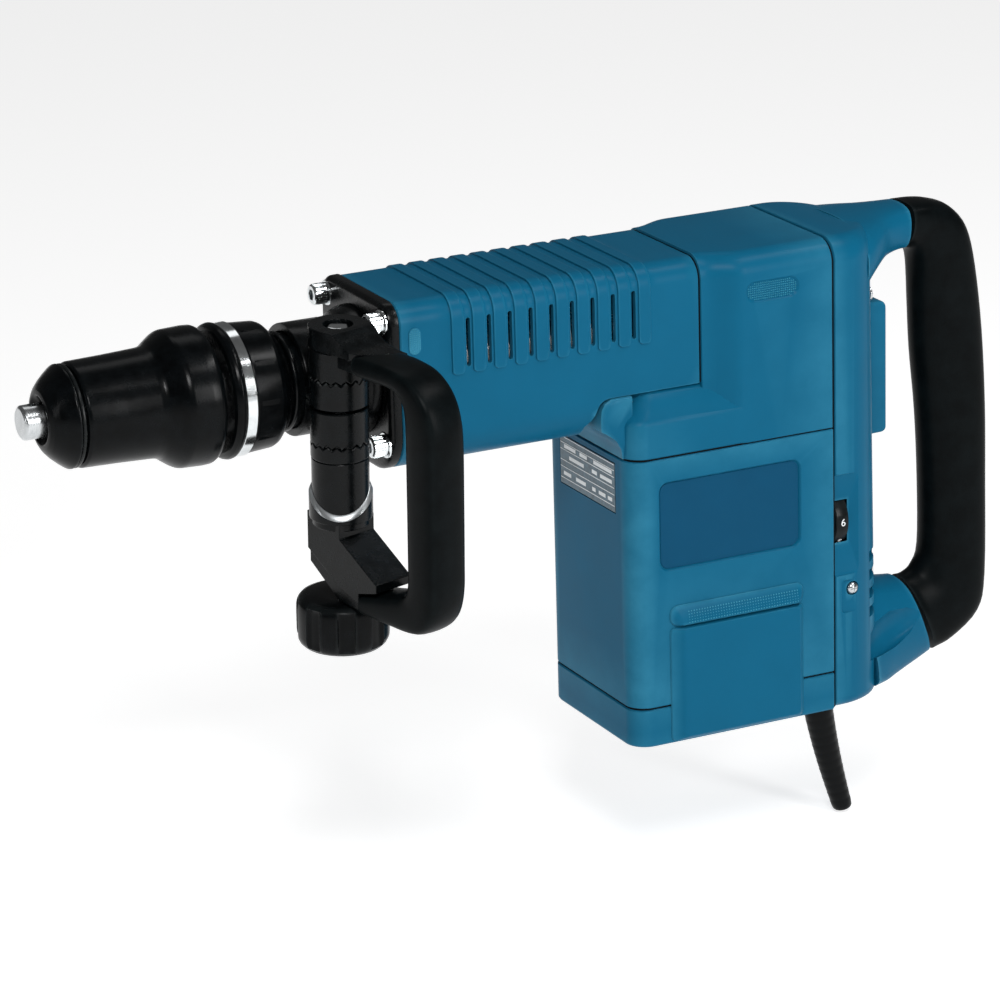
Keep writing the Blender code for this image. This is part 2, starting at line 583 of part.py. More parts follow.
def rear_screws():
    for number, (y, z) in enumerate(((-0.0215, 0.2360), (0.0215, 0.2360), (-0.0215, 0.0700),
                                     (0.0215, 0.0700)), 1):
        profile = [(0.1066, 0.0), (0.1066, 0.0036), (0.1060, 0.0042), (0.1048, 0.0042), (0.1048, 0.0)]
        add(f"rear_screw_{number}", turned("X", profile, (y, z), 12), STEEL)


# Auxiliary handle
BAND_FRONT, BAND_REAR = -0.2485, -0.2245
BAND_IN, BAND_OUT = NECK_R + 0.0005, 0.0312
HUB_R = 0.0160
BOLT_R = 0.0045


def half_band(side):
    """Half of the clamp band, above (side 1) or below (side -1) its split."""
    points = []
    start = -2.6 if side > 0 else 5.4
    for radius, order in ((BAND_OUT, range(17)), (BAND_IN - 0.0010, range(16, -1, -1))):
        for k in order:
            t = math.radians(start + (180 - 2 * start) * k / 16)
            points.append((radius * math.cos(t), TOOL_Z + side * radius * math.sin(t)))
    return prism("X", points, BAND_FRONT, BAND_REAR)


def clamp():
    for side, label, low, high in ((1, "upper", TOOL_Z - 0.0010, 0.2490),
                                   (-1, "lower", 0.2125, TOOL_Z - 0.0029)):
        hub = rod("Z", low, high, HUB_R, COLUMN, 28)
        node = add(f"clamp_jaw_{label}", hub, CASTING, AXIS_PIVOT)
        edge = TOOL_Z - (0.0013 if side > 0 else 0.0026)
        low_z, high_z = sorted((edge, edge + side * 0.0130))
        bridge = box((BAND_FRONT, COLUMN[1], low_z), (BAND_REAR, -0.0262, high_z))
        join(node, bridge, half_band(side))
        keep_out = rod("X", -0.3, -0.2, BAND_IN, AXIS, 32)
        cut(node, keep_out, rod("Z", 0.2, 0.26, BOLT_R, COLUMN, 16))
    bolt = [(0.1050, 0.0), (0.1050, 0.0040), (0.2682, 0.0040), (0.2682, 0.0068), (0.2760, 0.0068),
            (0.2770, 0.0058), (0.2770, 0.0)]
    add("clamp_bolt", turned("Z", bolt, COLUMN, 18), CHROME, COLUMN_PIVOT)


def swung(radial, side, z):
    """A point of the auxiliary handle from its reach from the column, its side offset and its height."""
    sin, cos = math.sin(SWING), math.cos(SWING)
    return (COLUMN[0] + radial * sin + side * cos, COLUMN[1] - radial * cos + side * sin, z)


def arm_block(outline, half):
    """A solid from a (reach, height) outline, as wide as the arm."""
    return skin([[swung(r, s, z) for r, z in outline] for s in (-half, half)])


GRIP_PATH = [
    # outer reach, outer height, inner reach, inner height, before the lean
    (0.0286, 0.2689, 0.0286, 0.2579), (0.0440, 0.2696, 0.0440, 0.2580), (0.0550, 0.2698, 0.0530, 0.2580),
    (0.0665, 0.2682, 0.0585, 0.2573), (0.0760, 0.2638, 0.0625, 0.2546), (0.0840, 0.2564, 0.0650, 0.2496),
    (0.0890, 0.2460, 0.0658, 0.2410), (0.0910, 0.2320, 0.0660, 0.2280), (0.0913, 0.2000, 0.0663, 0.2000),
    (0.0913, 0.1650, 0.0666, 0.1650), (0.0910, 0.1500, 0.0666, 0.1550), (0.0885, 0.1380, 0.0660, 0.1495),
    (0.0835, 0.1295, 0.0642, 0.1450), (0.0760, 0.1240, 0.0600, 0.1424), (0.0660, 0.1223, 0.0540, 0.1406),
    (0.0540, 0.1222, 0.0460, 0.1382), (0.0420, 0.1222, 0.0380, 0.1360), (0.0286, 0.1222, 0.0286, 0.1334),
]
GRIP_HALF = 0.0130
GRIP_END = 0.0282  # reach at which the cast arms give way to the rubber grip


def auxiliary_handle():
    upper = add("aux_upper_arm", rod("Z", 0.2495, 0.2680, HUB_R, COLUMN, 28), CASTING, COLUMN_PIVOT)
    arm = arm_block([(-0.0050, 0.2582), (GRIP_END, 0.2582), (GRIP_END, 0.2686), (-0.0050, 0.2686)], GRIP_HALF)
    join(upper, arm, rod("Z", 0.2660, 0.2780, 0.0166, COLUMN, 28))
    cut(upper, rod("Z", 0.2, 0.3, BOLT_R, COLUMN, 16), rod("Z", 0.2678, 0.3, 0.0082, COLUMN, 20))

    lower = add("aux_lower_arm", rod("Z", 0.1750, 0.2120, HUB_R, COLUMN, 28), CASTING, COLUMN_PIVOT)
    arm = arm_block([(-0.0142, 0.1800), (-0.0142, 0.1475), (0.0125, 0.1295), (GRIP_END, 0.1240),
                     (GRIP_END, 0.1345), (0.0433, 0.1390), (0.0433, 0.1437), (0.0129, 0.1615),
                     (0.0129, 0.1800)], 0.0115)
    join(lower, rod("Z", 0.1520, 0.1873, 0.0174, COLUMN, 28), arm)
    cut(lower, rod("Z", 0.1, 0.26, BOLT_R, COLUMN, 16))

    rings = []
    for outer_r, outer_z, inner_r, inner_z in GRIP_PATH:
        ring = []
        for k in range(16):
            t = 2 * math.pi * (k + 0.5) / 16
            c, s = math.cos(t), math.sin(t)
            share = 0.5 + 0.5 * math.copysign(abs(c) ** 0.6, c)
            side = math.copysign(abs(s) ** 0.6, s) * GRIP_HALF
            ring.append(swung(inner_r + (outer_r - inner_r) * share, side,
                              inner_z + (outer_z - inner_z) * share))
        rings.append(ring)
    add("aux_grip", skin(rings), RUBBER, COLUMN_PIVOT)


def clamp_knob():
    """The fluted knob under the column that tightens the clamp."""
    flutes, around = 8, 48
    rings = []
    for z, radius, depth in ((0.0945, 0.0190, 0.0), (0.0955, 0.0225, 0.0004), (0.0985, 0.0248, 0.0014),
                             (0.1040, 0.0257, 0.0014), (0.1165, 0.0257, 0.0014), (0.1205, 0.0248, 0.0008),
                             (0.1230, 0.0222, 0.0), (0.1238, 0.0180, 0.0)):
        ring = []
        for k in range(around):
            t = 2 * math.pi * k / around
            dip = depth * max(0.0, math.cos(flutes * t)) ** 0.5
            ring.append((COLUMN[0] + (radius - dip) * math.cos(t), COLUMN[1] + (radius - dip) * math.sin(t), z))
        rings.append(ring)
    node = add("clamp_knob", skin(rings), GLOSS, COLUMN_PIVOT)
    cut(node, rod("Z", 0.1040, 0.2, BOLT_R, COLUMN, 16))


for build in (tool_holder, tool_shank, dust_cap, locking_sleeve, sleeve_spring, adjusting_ring,
              front_flange, barrel_housing, striking_mechanism, crank_gear, motor, motor_housing,
              base_cap, side_covers, gear_housing, rear_housing, rear_grip, controls, strain_relief,
              rear_screws, clamp, auxiliary_handle, clamp_knob):
    build()
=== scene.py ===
import math

import bmesh
import bpy
from mathutils import Matrix, Vector


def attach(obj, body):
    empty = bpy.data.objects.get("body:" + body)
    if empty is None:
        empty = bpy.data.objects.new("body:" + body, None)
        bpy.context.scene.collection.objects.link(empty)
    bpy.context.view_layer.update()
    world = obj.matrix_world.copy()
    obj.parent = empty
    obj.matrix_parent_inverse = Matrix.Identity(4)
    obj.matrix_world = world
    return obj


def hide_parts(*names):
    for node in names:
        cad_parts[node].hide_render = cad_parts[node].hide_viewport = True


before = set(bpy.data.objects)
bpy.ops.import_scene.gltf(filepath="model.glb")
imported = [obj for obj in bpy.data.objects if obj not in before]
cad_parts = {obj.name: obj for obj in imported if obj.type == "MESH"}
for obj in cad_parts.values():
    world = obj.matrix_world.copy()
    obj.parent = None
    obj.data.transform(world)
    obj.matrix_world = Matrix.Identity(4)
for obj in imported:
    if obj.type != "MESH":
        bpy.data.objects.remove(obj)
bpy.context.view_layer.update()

# Every size below is in millimetres, in the CAD's frame; piece() turns it into metres.
MM = 0.001
AXIS_Z = 234.5  # height of the tool axis
AXIS = (0.0, AXIS_Z)  # the tool axis as (y, z)
HALF_W = 52.7  # half the width of the motor and rear housings
COLUMN = (-236.5, -44.0)  # the side handle's clamp column as (x, y)
HUB = 16.0  # radius of the column's toothed hubs
TOOTH = 1.1  # half the height of a locking tooth
SWING = math.radians(15)  # how far forward the side handle is swung
LEAN = math.radians(3)  # the clamp and its handle stand turned this far round the tool axis
SIDES = ((-1, "left"), (1, "right"))


# ---------------------------------------------------------------- materials
def node(tree, kind, **values):
    made = tree.nodes.new(kind)
    for key, value in values.items():
        if key in made.inputs:
            made.inputs[key].default_value = value
        else:
            setattr(made, key, value)
    return made


def material(name, colour, roughness, metallic=0.0, grain=(1500, 0.02), blotch=(60, 0.25),
             rough_spread=0.08, wear_and_edge_highlight=None, coat=0.0, specular=0.5, stretch=(1, 1, 1)):
    """A moulded, cast or turned finish: fine grain in the bump, blotches in the colour and the gloss, and
    sharp edges lightened to a tint that is partly rubbed wear and partly a painted highlight where light
    catches the edges."""
    made = bpy.data.materials.new(name)
    made.use_nodes = True
    tree = made.node_tree
    link = tree.links.new
    shader = tree.nodes["Principled BSDF"]
    shader.inputs["Metallic"].default_value = metallic
    shader.inputs["Specular IOR Level"].default_value = specular
    shader.inputs["Coat Weight"].default_value = coat
    shader.inputs["Coat Roughness"].default_value = 0.12
    place = node(tree, "ShaderNodeTexCoord")
    spread = node(tree, "ShaderNodeMapping")
    spread.inputs["Scale"].default_value = stretch
    link(place.outputs["Object"], spread.inputs["Vector"])
    large = node(tree, "ShaderNodeTexNoise", Scale=blotch[0], Detail=5.0, Roughness=0.6)
    small = node(tree, "ShaderNodeTexNoise", Scale=grain[0], Detail=2.0)
    link(spread.outputs["Vector"], large.inputs["Vector"])
    link(spread.outputs["Vector"], small.inputs["Vector"])
    ramp = node(tree, "ShaderNodeValToRGB")
    low = [c * (1 - blotch[1]) for c in colour]
    high = [c * (1 + blotch[1]) for c in colour]
    ramp.color_ramp.elements[0].position, ramp.color_ramp.elements[1].position = 0.32, 0.68
    ramp.color_ramp.elements[0].color = (*low, 1)
    ramp.color_ramp.elements[1].color = (*high, 1)
    link(large.outputs["Fac"], ramp.inputs["Fac"])
    base = ramp.outputs["Color"]
    # Painted highlight with some wear: convex edges, found by pointiness, are mixed toward the lighter tint.
    if wear_and_edge_highlight:
        tint, start, end = wear_and_edge_highlight
        shape = node(tree, "ShaderNodeNewGeometry")
        edge = node(tree, "ShaderNodeMapRange")
        edge.inputs["From Min"].default_value = start
        edge.inputs["From Max"].default_value = end
        wear_and_highlight_mask = node(tree, "ShaderNodeMath", operation="MULTIPLY")
        mix = node(tree, "ShaderNodeMix", data_type="RGBA")
        link(shape.outputs["Pointiness"], edge.inputs["Value"])
        link(edge.outputs["Result"], wear_and_highlight_mask.inputs[0])
        link(large.outputs["Fac"], wear_and_highlight_mask.inputs[1])
        link(wear_and_highlight_mask.outputs["Value"], mix.inputs["Factor"])
        link(base, mix.inputs["A"])
        mix.inputs["B"].default_value = (*tint, 1)
        base = mix.outputs["Result"]
    link(base, shader.inputs["Base Color"])
    gloss = node(tree, "ShaderNodeMapRange")
    gloss.inputs["To Min"].default_value = max(roughness - rough_spread, 0.03)
    gloss.inputs["To Max"].default_value = roughness + rough_spread
    link(large.outputs["Fac"], gloss.inputs["Value"])
    link(gloss.outputs["Result"], shader.inputs["Roughness"])
    bump = node(tree, "ShaderNodeBump", Strength=0.6, Distance=grain[1] * MM)
    link(small.outputs["Fac"], bump.inputs["Height"])
    link(bump.outputs["Normal"], shader.inputs["Normal"])
    return made


# The light blue edge tint is a painted highlight along the edges, with a little rubbed wear.
BLUE = material("blue_plastic", (0.0035, 0.095, 0.180), 0.34, grain=(1400, 0.03), blotch=(40, 0.03),
                rough_spread=0.04, wear_and_edge_highlight=((0.05, 0.26, 0.38), 0.52, 0.60), specular=0.05)
PANEL = material("panel_blue", (0.0022, 0.056, 0.120), 0.34, grain=(1400, 0.015), blotch=(40, 0.03),
                 specular=0.06)
KNURL = material("knurled_blue", (0.045, 0.26, 0.36), 0.40, grain=(1400, 0.01), blotch=(40, 0.03),
                 specular=0.25)
# The grey edge tint is the colour of the lit rubber faces: a painted highlight on the grip's edges.
RUBBER = material("grip_rubber", (0.0022, 0.0034, 0.0038), 0.36, grain=(1700, 0.05), blotch=(90, 0.30),
                  wear_and_edge_highlight=((0.02, 0.028, 0.030), 0.52, 0.62), specular=0.045)
BOOT = material("boot_rubber", (0.002, 0.0025, 0.0028), 0.34, grain=(1700, 0.03), specular=0.10)
GLOSS = material("chuck_plastic", (0.0016, 0.0022, 0.0026), 0.24, grain=(900, 0.02), blotch=(120, 0.5),
                 rough_spread=0.10, wear_and_edge_highlight=((0.05, 0.06, 0.062), 0.52, 0.62), specular=0.09)
# The pale edge tint is a painted highlight on the casting's edges, with some rubbed wear.
CASTING = material("black_casting", (0.0016, 0.0024, 0.0028), 0.26, grain=(700, 0.10), blotch=(160, 0.6),
                   rough_spread=0.10, wear_and_edge_highlight=((0.16, 0.18, 0.18), 0.56, 0.68), specular=0.16)
CHROME = material("chrome", (0.70, 0.73, 0.74), 0.14, 1.0, grain=(900, 0.004), blotch=(200, 0.06),
                  rough_spread=0.05)
# Painted highlight: a bright bare-metal finish for the cup's rim chamfer, standing in for the highlight that
# falls there.
RIM_HIGHLIGHT = material("rim_highlight_metal", (0.42, 0.44, 0.45), 0.30, 0.85, grain=(900, 0.02))
STEEL = material("steel", (0.55, 0.57, 0.58), 0.26, 1.0, grain=(900, 0.01), blotch=(200, 0.10),
                 rough_spread=0.08, stretch=(6, 1, 1))
COPPER = material("windings", (0.55, 0.25, 0.10), 0.35, 1.0, grain=(900, 0.10), stretch=(1, 1, 4))
CARBON = material("carbon", (0.03, 0.03, 0.03), 0.7)
BOARD = material("circuit_board", (0.015, 0.12, 0.05), 0.4)
PAINT = material("white_print", (0.75, 0.77, 0.78), 0.45, grain=(900, 0.005), blotch=(200, 0.05))
PLATE = material("plate_metal", (0.055, 0.10, 0.13), 0.32, 0.4, blotch=(300, 0.4))
SEAM = material("seam_gasket", (0.0008, 0.0015, 0.002), 0.7, specular=0.1)


# ---------------------------------------------------------------- mesh helpers
def axis_point(axis, along, u, v):
    return {"X": (along, u, v), "Y": (u, along, v), "Z": (u, v, along)}[axis]


def laid(axis, along, outline):
    """The flat outline as a ring of points across the axis."""
    return [axis_point(axis, along, u, v) for u, v in outline]


def turns(count):
    return [2 * math.pi * k / count for k in range(count)]


def skin(rings, looped=False):
    """A closed mesh through rings of points; a ring of one point is a tip."""
    bm = bmesh.new()
    rows = [[bm.verts.new(p) for p in ring] for ring in rings]
    pairs = list(zip(rows, rows[1:]))
    if looped:
        pairs.append((rows[-1], rows[0]))
    for a, b in pairs:
        count = max(len(a), len(b))
        for k in range(count):
            n = (k + 1) % count
            corners = [a[k % len(a)], a[n % len(a)], b[n % len(b)], b[k % len(b)]]
            bm.faces.new(list(dict.fromkeys(corners)))
    if not looped:
        for row in (rows[0], rows[-1]):
            if len(row) > 2:
                bm.faces.new(row)
    bmesh.ops.recalc_face_normals(bm, faces=bm.faces)
    return bm


def turned(axis, profile, centre=(0.0, 0.0), segments=96, ring=False):
    """A profile of (along, radius) points turned round the axis; ring joins its last point to its first."""
    rings = []
    for along, radius in profile:
        rings.append([axis_point(axis, along, *centre)] if radius <= 0 else
                     [axis_point(axis, along, centre[0] + radius * math.cos(t),
                                 centre[1] + radius * math.sin(t)) for t in turns(segments)])
    return skin(rings, looped=ring)


def softened(profile, radius=0.5, closed=False):
    """The profile with each corner swapped for a short three-point round."""
    points = [Vector(p) for p in profile]
    count = len(points)
    out = []
    for k, p in enumerate(points):
        if not closed and k in (0, count - 1):
            out.append(tuple(p))
            continue
        before, after = points[k - 1], points[(k + 1) % count]
        a, b = before - p, after - p
        cut = min(radius, a.length * 0.45, b.length * 0.45)
        if cut < 0.02:
            out.append(tuple(p))
            continue
        start, end = p + a.normalized() * cut, p + b.normalized() * cut
        middle = (start + end) / 2 * 0.5 + p * 0.5
        out += [tuple(start), tuple(middle), tuple(end)]
    return out


def rod(axis, low, high, radius, centre=(0.0, 0.0), segments=48, edge=0.0):
    """A cylinder, with rounded edges if edge is given."""
    profile = [(low, 0), (low, radius), (high, radius), (high, 0)]
    if edge:
        part = edge * 0.3
        profile = [(low, 0), (low, radius - edge), (low + part, radius - part), (low + edge, radius),
                   (high - edge, radius), (high - part, radius - part), (high, radius - edge), (high, 0)]
    return turned(axis, profile, centre, segments)


def prism(axis, outline, low, high):
    return skin([laid(axis, low, outline), laid(axis, high, outline)])


def round_rect(u0, u1, v0, v1, radii, steps=8):
    """A rectangle's outline with rounded corners: one radius, or four from (u0, v0) onwards."""
    if not isinstance(radii, tuple):
        radii = (radii,) * 4
    corners = [(u0, v0, 1, 1, 180), (u1, v0, -1, 1, 270), (u1, v1, -1, -1, 0), (u0, v1, 1, -1, 90)]
    points = []
    for (u, v, su, sv, start), radius in zip(corners, radii):
        for k in range(steps + 1):
            turn = math.radians(start + 90 * k / steps)
            points.append((u + su * radius + radius * math.cos(turn),
                           v + sv * radius + radius * math.sin(turn)))
    return points


def band(axis, low, high, outer, inner):
    """A flat hoop between two outlines."""
    return skin([laid(axis, at, outline) for at, outline in
                 ((low, outer), (high, outer), (high, inner), (low, inner))], looped=True)


def box(low, high):
    outline = [(low[0], low[1]), (high[0], low[1]), (high[0], high[1]), (low[0], high[1])]
    return prism("Z", outline, low[2], high[2])


def dish(axis, rings, sign=1, steps=8):
    """A cutter or pad lofted through rounded rectangles: (along, u0, u1, v0, v1, radius)."""
    made = []
    for along, u0, u1, v0, v1, radius in rings:
        made.append(laid(axis, sign * along, round_rect(u0, u1, v0, v1, radius, steps)))
    return skin(made)


def as_object(bm, name="scratch"):
    data = bpy.data.meshes.new(name)
    bm.to_mesh(data)
    bm.free()
    made = bpy.data.objects.new(name, data)
    bpy.context.scene.collection.objects.link(made)
    return made


def combined(bm, tools, operation="DIFFERENCE"):
    """The mesh with the tools cut out of it, or joined to it."""
    target = as_object(bm)
    made = [as_object(tool) for tool in tools]
    for tool in made:
        change = target.modifiers.new("change", "BOOLEAN")
        change.operation = operation
        change.solver = "EXACT"
        change.object = tool
    graph = bpy.context.evaluated_depsgraph_get()
    result = bmesh.new()
    result.from_mesh(target.evaluated_get(graph).to_mesh())
    for scratch in [target, *made]:
        data = scratch.data
        bpy.data.objects.remove(scratch)
        bpy.data.meshes.remove(data)
    bmesh.ops.remove_doubles(result, verts=result.verts, dist=0.002)
    return result


def merged(*parts):
    """Several separate shells in one mesh."""
    out = bmesh.new()
    for bm in parts:
        data = bpy.data.meshes.new("scratch")
        bm.to_mesh(data)
        bm.free()
        out.from_mesh(data)
        bpy.data.meshes.remove(data)
    return out


def rotated(bm, angle, axis, centre):
    bmesh.ops.rotate(bm, verts=bm.verts, cent=centre, matrix=Matrix.Rotation(angle, 3, axis))
    return bm


def moved(bm, shift):
    bmesh.ops.translate(bm, verts=bm.verts, vec=shift)
    return bm


def piece(name, bm, finish, body, *stands_for, slot=None, bevel=0.0, smooth=32):
    """One visible piece: it rides on its body; its slot argument is not used."""
    if body in ("clamp", "side_handle", "knob"):
        rotated(bm, LEAN, "X", (0, 0, AXIS_Z))
    bmesh.ops.scale(bm, vec=(MM, MM, MM), verts=bm.verts)
    made = as_object(bm, name)
    made.data.materials.append(finish)
    made.data.shade_smooth()
    made.data.set_sharp_from_angle(angle=math.radians(smooth))
    if bevel:
        edge = made.modifiers.new("edges", "BEVEL")
        edge.width, edge.segments = bevel * MM, 3
        edge.limit_method, edge.angle_limit = "ANGLE", math.radians(32)
        edge.miter_outer = "MITER_ARC"
        made.modifiers.new("normals", "WEIGHTED_NORMAL").keep_sharp = True
    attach(made, body)
    if stands_for:
        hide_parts(*stands_for)
    return made


def catmull(points, per_span):
    """A smooth run of tuples through the given tuples."""
    out = []
    last = len(points) - 1
    for k in range(last):
        a, b, c, d = (points[max(k - 1, 0)], points[k], points[k + 1], points[min(k + 2, last)])
        for j in range(per_span):
            t = j / per_span
            out.append(tuple(0.5 * (2 * q + (r - p) * t + (2 * p - 5 * q + 4 * r - s) * t * t
                                    + (3 * q - p - 3 * r + s) * t ** 3)
                             for p, q, r, s in zip(a, b, c, d)))
    out.append(tuple(points[-1]))
    return out


def chaikin(points, rounds):
    """The closed outline with its corners cut, once per round."""
    for _ in range(rounds):
        cut = []
        for k, p in enumerate(points):
            q = points[(k + 1) % len(points)]
            cut.append(tuple(0.75 * a + 0.25 * b for a, b in zip(p, q)))
            cut.append(tuple(0.25 * a + 0.75 * b for a, b in zip(p, q)))
        points = cut
    return points


def pill(centre, reach, radius):
    """A mask that is true inside a pill with its flat stretch along u, v or neither."""
    def inside(u, v):
        away = [max(0.0, abs(at - middle) - half) for at, middle, half in zip((u, v), centre, reach)]
        return away[0] ** 2 + away[1] ** 2 < radius ** 2
    return inside


def knurl(axis, sign, depth, u0, u1, v0, v1, pitch=1.9, rise=0.5, slope=0.0, mask=None):
    """Crossed pyramids on a rectangle; slope leans the field outward per millimetre of v."""
    parts = bmesh.new()
    columns, rows = round((u1 - u0) / pitch), round((v1 - v0) / pitch)
    du, dv = (u1 - u0) / columns, (v1 - v0) / rows
    for i in range(columns):
        for j in range(rows):
            cu, cv = u0 + (i + 0.5) * du, v0 + (j + 0.5) * dv
            if mask and not mask(cu, cv):
                continue
            corners = [(cu - du / 2, cv), (cu, cv - dv / 2), (cu + du / 2, cv), (cu, cv + dv / 2)]
            under = [parts.verts.new(axis_point(axis, sign * (depth + slope * (v - v0) - 0.3), u, v))
                     for u, v in corners]
            tip = parts.verts.new(axis_point(axis, sign * (depth + slope * (cv - v0) + rise), cu, cv))
            for k in range(4):
                parts.faces.new((under[k], under[(k + 1) % 4], tip))
            parts.faces.new(under)
    bmesh.ops.recalc_face_normals(parts, faces=parts.faces)
    return parts


# ---------------------------------------------------------------- chuck
def chuck():
    stub = [(-401.9, 0), (-401.9, 7.9), (-400.6, 9.5), (-301, 9.5), (-301, 0)]
    shank = turned("X", softened(stub, 0.5), AXIS, 64)
    flutes = []
    for side in (-1, 1):
        low, high = sorted((side * 6.4, side * 12))
        flutes.append(prism("Z", round_rect(-397.0, -318, -2.6, 2.6, 2.4), AXIS_Z + low, AXIS_Z + high))
    shank = combined(shank, flutes)
    piece("shank", shank, STEEL, "tool", "tool_shank", slot="chrome", bevel=0.3)

    cap = [(-385, 9.9), (-386.8, 9.9), (-391.0, 13.4), (-391.2, 14.2), (-390.7, 16.2), (-389.2, 18.8),
           (-386.4, 21.9), (-383, 24.9), (-380, 27.3), (-378.4, 28.3), (-377.2, 28.4), (-376.9, 27.4),
           (-376.9, 25), (-378.5, 25), (-378.5, 15.5), (-385, 15.5)]
    piece("cap", turned("X", softened(cap, 0.35, True), AXIS, 96, ring=True), GLOSS, "chuck", "dust_cap",
          slot="black_rubber")
    lip = [(-376.3, 24.2), (-376.3, 27.6), (-375.7, 28.2), (-374.9, 28.2), (-374.4, 27.6), (-374.4, 24.2)]
    piece("cap_ring", turned("X", lip, AXIS, 96, ring=True), CASTING, "chuck")

    sleeve = [(-373.4, 20.6), (-373.4, 27.2), (-372.8, 28.2), (-371.8, 28.7), (-371.2, 28.8), (-351, 29.3),
              (-331.5, 30.1), (-329, 30.5), (-327.2, 31.2), (-325.4, 32.6), (-320.6, 36.0), (-318.4, 37.2),
              (-316.6, 37.7), (-315.6, 37.8), (-305, 38.2), (-300.6, 38.0), (-298.6, 37.0), (-297.4, 35.2),
              (-297.2, 33.6), (-297.2, 29), (-307, 29), (-307, 20.6), (-316, 20.6), (-316, 24), (-370, 24),
              (-370, 20.6)]
    piece("sleeve", turned("X", softened(sleeve, 0.5, True), AXIS, 128, ring=True), GLOSS, "sleeve",
          "locking_sleeve")

    ring = [(-292.6, 20.6), (-292.6, 33.8), (-291.9, 35.6), (-290.4, 37.0), (-288.6, 37.5), (-287.2, 37.2),
            (-286.6, 36.4), (-286.6, 34.6), (-280.0, 34.6), (-280.0, 35.6), (-279.4, 35.9), (-264.5, 34.8),
            (-262.3, 33.9), (-256.4, 27.8), (-255.8, 26.6), (-255.8, 20.6)]
    body = turned("X", softened(ring, 0.4, True), AXIS, 144, ring=True)
    grooves = []
    for k in range(10):
        groove = prism("X", [(-1.5, 35.0), (1.5, 35.0), (2.2, 40), (-2.2, 40)], -277.5, -250)
        tilt = rotated(groove, math.radians(18 + 36 * k), "X", (0, 0, 0))
        grooves.append(moved(tilt, (0, 0, AXIS_Z)))
    body = combined(body, grooves)
    piece("turning_ring", body, GLOSS, "chuck", "adjusting_ring", bevel=0.35)
    bright = [(-286.3, 34.8), (-286.3, 36.2), (-285.9, 36.6), (-280.7, 36.9), (-280.3, 36.5), (-280.3, 34.8)]
    piece("bright_ring", turned("X", bright, AXIS, 128, ring=True), CHROME, "chuck", "chrome_ring")


# ---------------------------------------------------------------- neck, flange and screws
SCREWS = [(side * 35.5, AXIS_Z + lift) for side in (-1, 1) for lift in (34.5, -34.5)]


def flange():
    neck = [(-254.5, 20.6), (-254.5, 26.9), (-253.6, 27.6), (-252.4, 27.6), (-251.6, 26.2), (-221.5, 26.2),
            (-221, 28.6), (-219.4, 28.9), (-218.6, 28.2), (-217.6, 30.2), (-216, 33.6), (-212, 35.2),
            (-207.3, 36.0), (-207.3, 20.6)]
    bm = turned("X", softened(neck, 0.4, True), AXIS, 96, ring=True)
    piece("neck", bm, CASTING, "machine", "front_neck")
    rings = []
    for x, inset in ((-206.9, 3.0), (-206.3, 1.7), (-205.2, 0.6), (-204.0, 0.1), (-200.0, 0.0),
                     (-199.4, 0.7)):
        radii = (24 - inset, 24 - inset, 12.2 - inset, 12.2 - inset)
        outline = round_rect(-43.9 + inset, 43.9 - inset, 182.8 + inset, 279.3 - inset, radii, 10)
        rings.append(laid("X", x, outline))
    plate = combined(skin(rings), [rod("X", -210, -195, 20.8, AXIS)] +
                     [rod("X", -208.5, -205.2, 7.6, spot) for spot in SCREWS])
    piece("flange_plate", plate, CASTING, "machine", "front_flange")
    for number, spot in enumerate(SCREWS, 1):
        profile = [(-215.9, 0), (-215.9, 4.9), (-215.3, 5.7), (-214.2, 6.0), (-207.4, 6.0), (-207.4, 0)]
        head = turned("X", profile, spot, 40)
        dents = [rotated(box((-216, 5.75, -0.35), (-209, 6.3, 0.35)), math.radians(15 * k), "X", (0, 0, 0))
                 for k in range(24)]
        dents = [moved(dent, (0, *spot)) for dent in dents]
        head = combined(head, [turned("X", [(-220, 3.3), (-211.5, 3.3), (-210.5, 0)], spot, 6)] + dents)
        profile = [(-207.3, 0), (-207.3, 6.9), (-206.9, 7.2), (-206.0, 7.2), (-206.0, 0)]
        washer = turned("X", profile, spot, 40)
        piece(f"screw_{number}", merged(head, washer), CHROME, "machine", f"flange_screw_{number}",
              bevel=0.15)


# ---------------------------------------------------------------- barrel
RIBS = [-168.8 + 12.7 * k for k in range(10)]
RIB_WIDTH, RIB_RISE, RIB_END = 8.0, 1.1, 235.5


def barrel_ring(x, rise, curl):
    """The barrel's outline at x; rise lifts the ribbed part and curl rounds the rib's lower end."""
    top, half, low = 278.6, 43.3, 182.6
    side = [RIB_END - 0.9 + curl, RIB_END + curl, RIB_END + 0.3 + curl, RIB_END + 1.0 + curl]
    heights = [208, 218, 228, *side, 242, 250, 258]
    radius = 12.0
    points = [(-half, z, -1.0, 0.0, 0.0 if z < side[1] + 0.01 else 1.0) for z in heights]
    points += [(-half, top - radius, -1, 0, 1.0)]
    for k in range(1, 12):
        t = math.radians(90 * k / 12)
        points.append((-half + radius - radius * math.cos(t), top - radius + radius * math.sin(t),
                       -math.cos(t), math.sin(t), 1.0))
    crown = [-half + radius + (half - radius) * k / 5 for k in range(6)]
    points += [(y, top, 0, 1, 1.0) for y in crown]
    mirrored = [(-y, z, -ny, nz, m) for y, z, ny, nz, m in reversed(points[:-1])]
    corner = 24.0
    bottom = []
    for k in range(13):
        t = math.radians(90 * k / 12)
        bottom.append((half - corner + corner * math.cos(t), low + corner - corner * math.sin(t), 0, 0, 0.0))
    under = [(y, low, 0, 0, 0.0) for y in (14, 7, 0, -7, -14)]
    left = [(-y, z, 0, 0, 0.0) for y, z, *_ in reversed(bottom)]
    ring = points + mirrored + bottom + under + left
    return [(x, y + ny * rise * m, z + nz * rise * m) for y, z, ny, nz, m in ring]


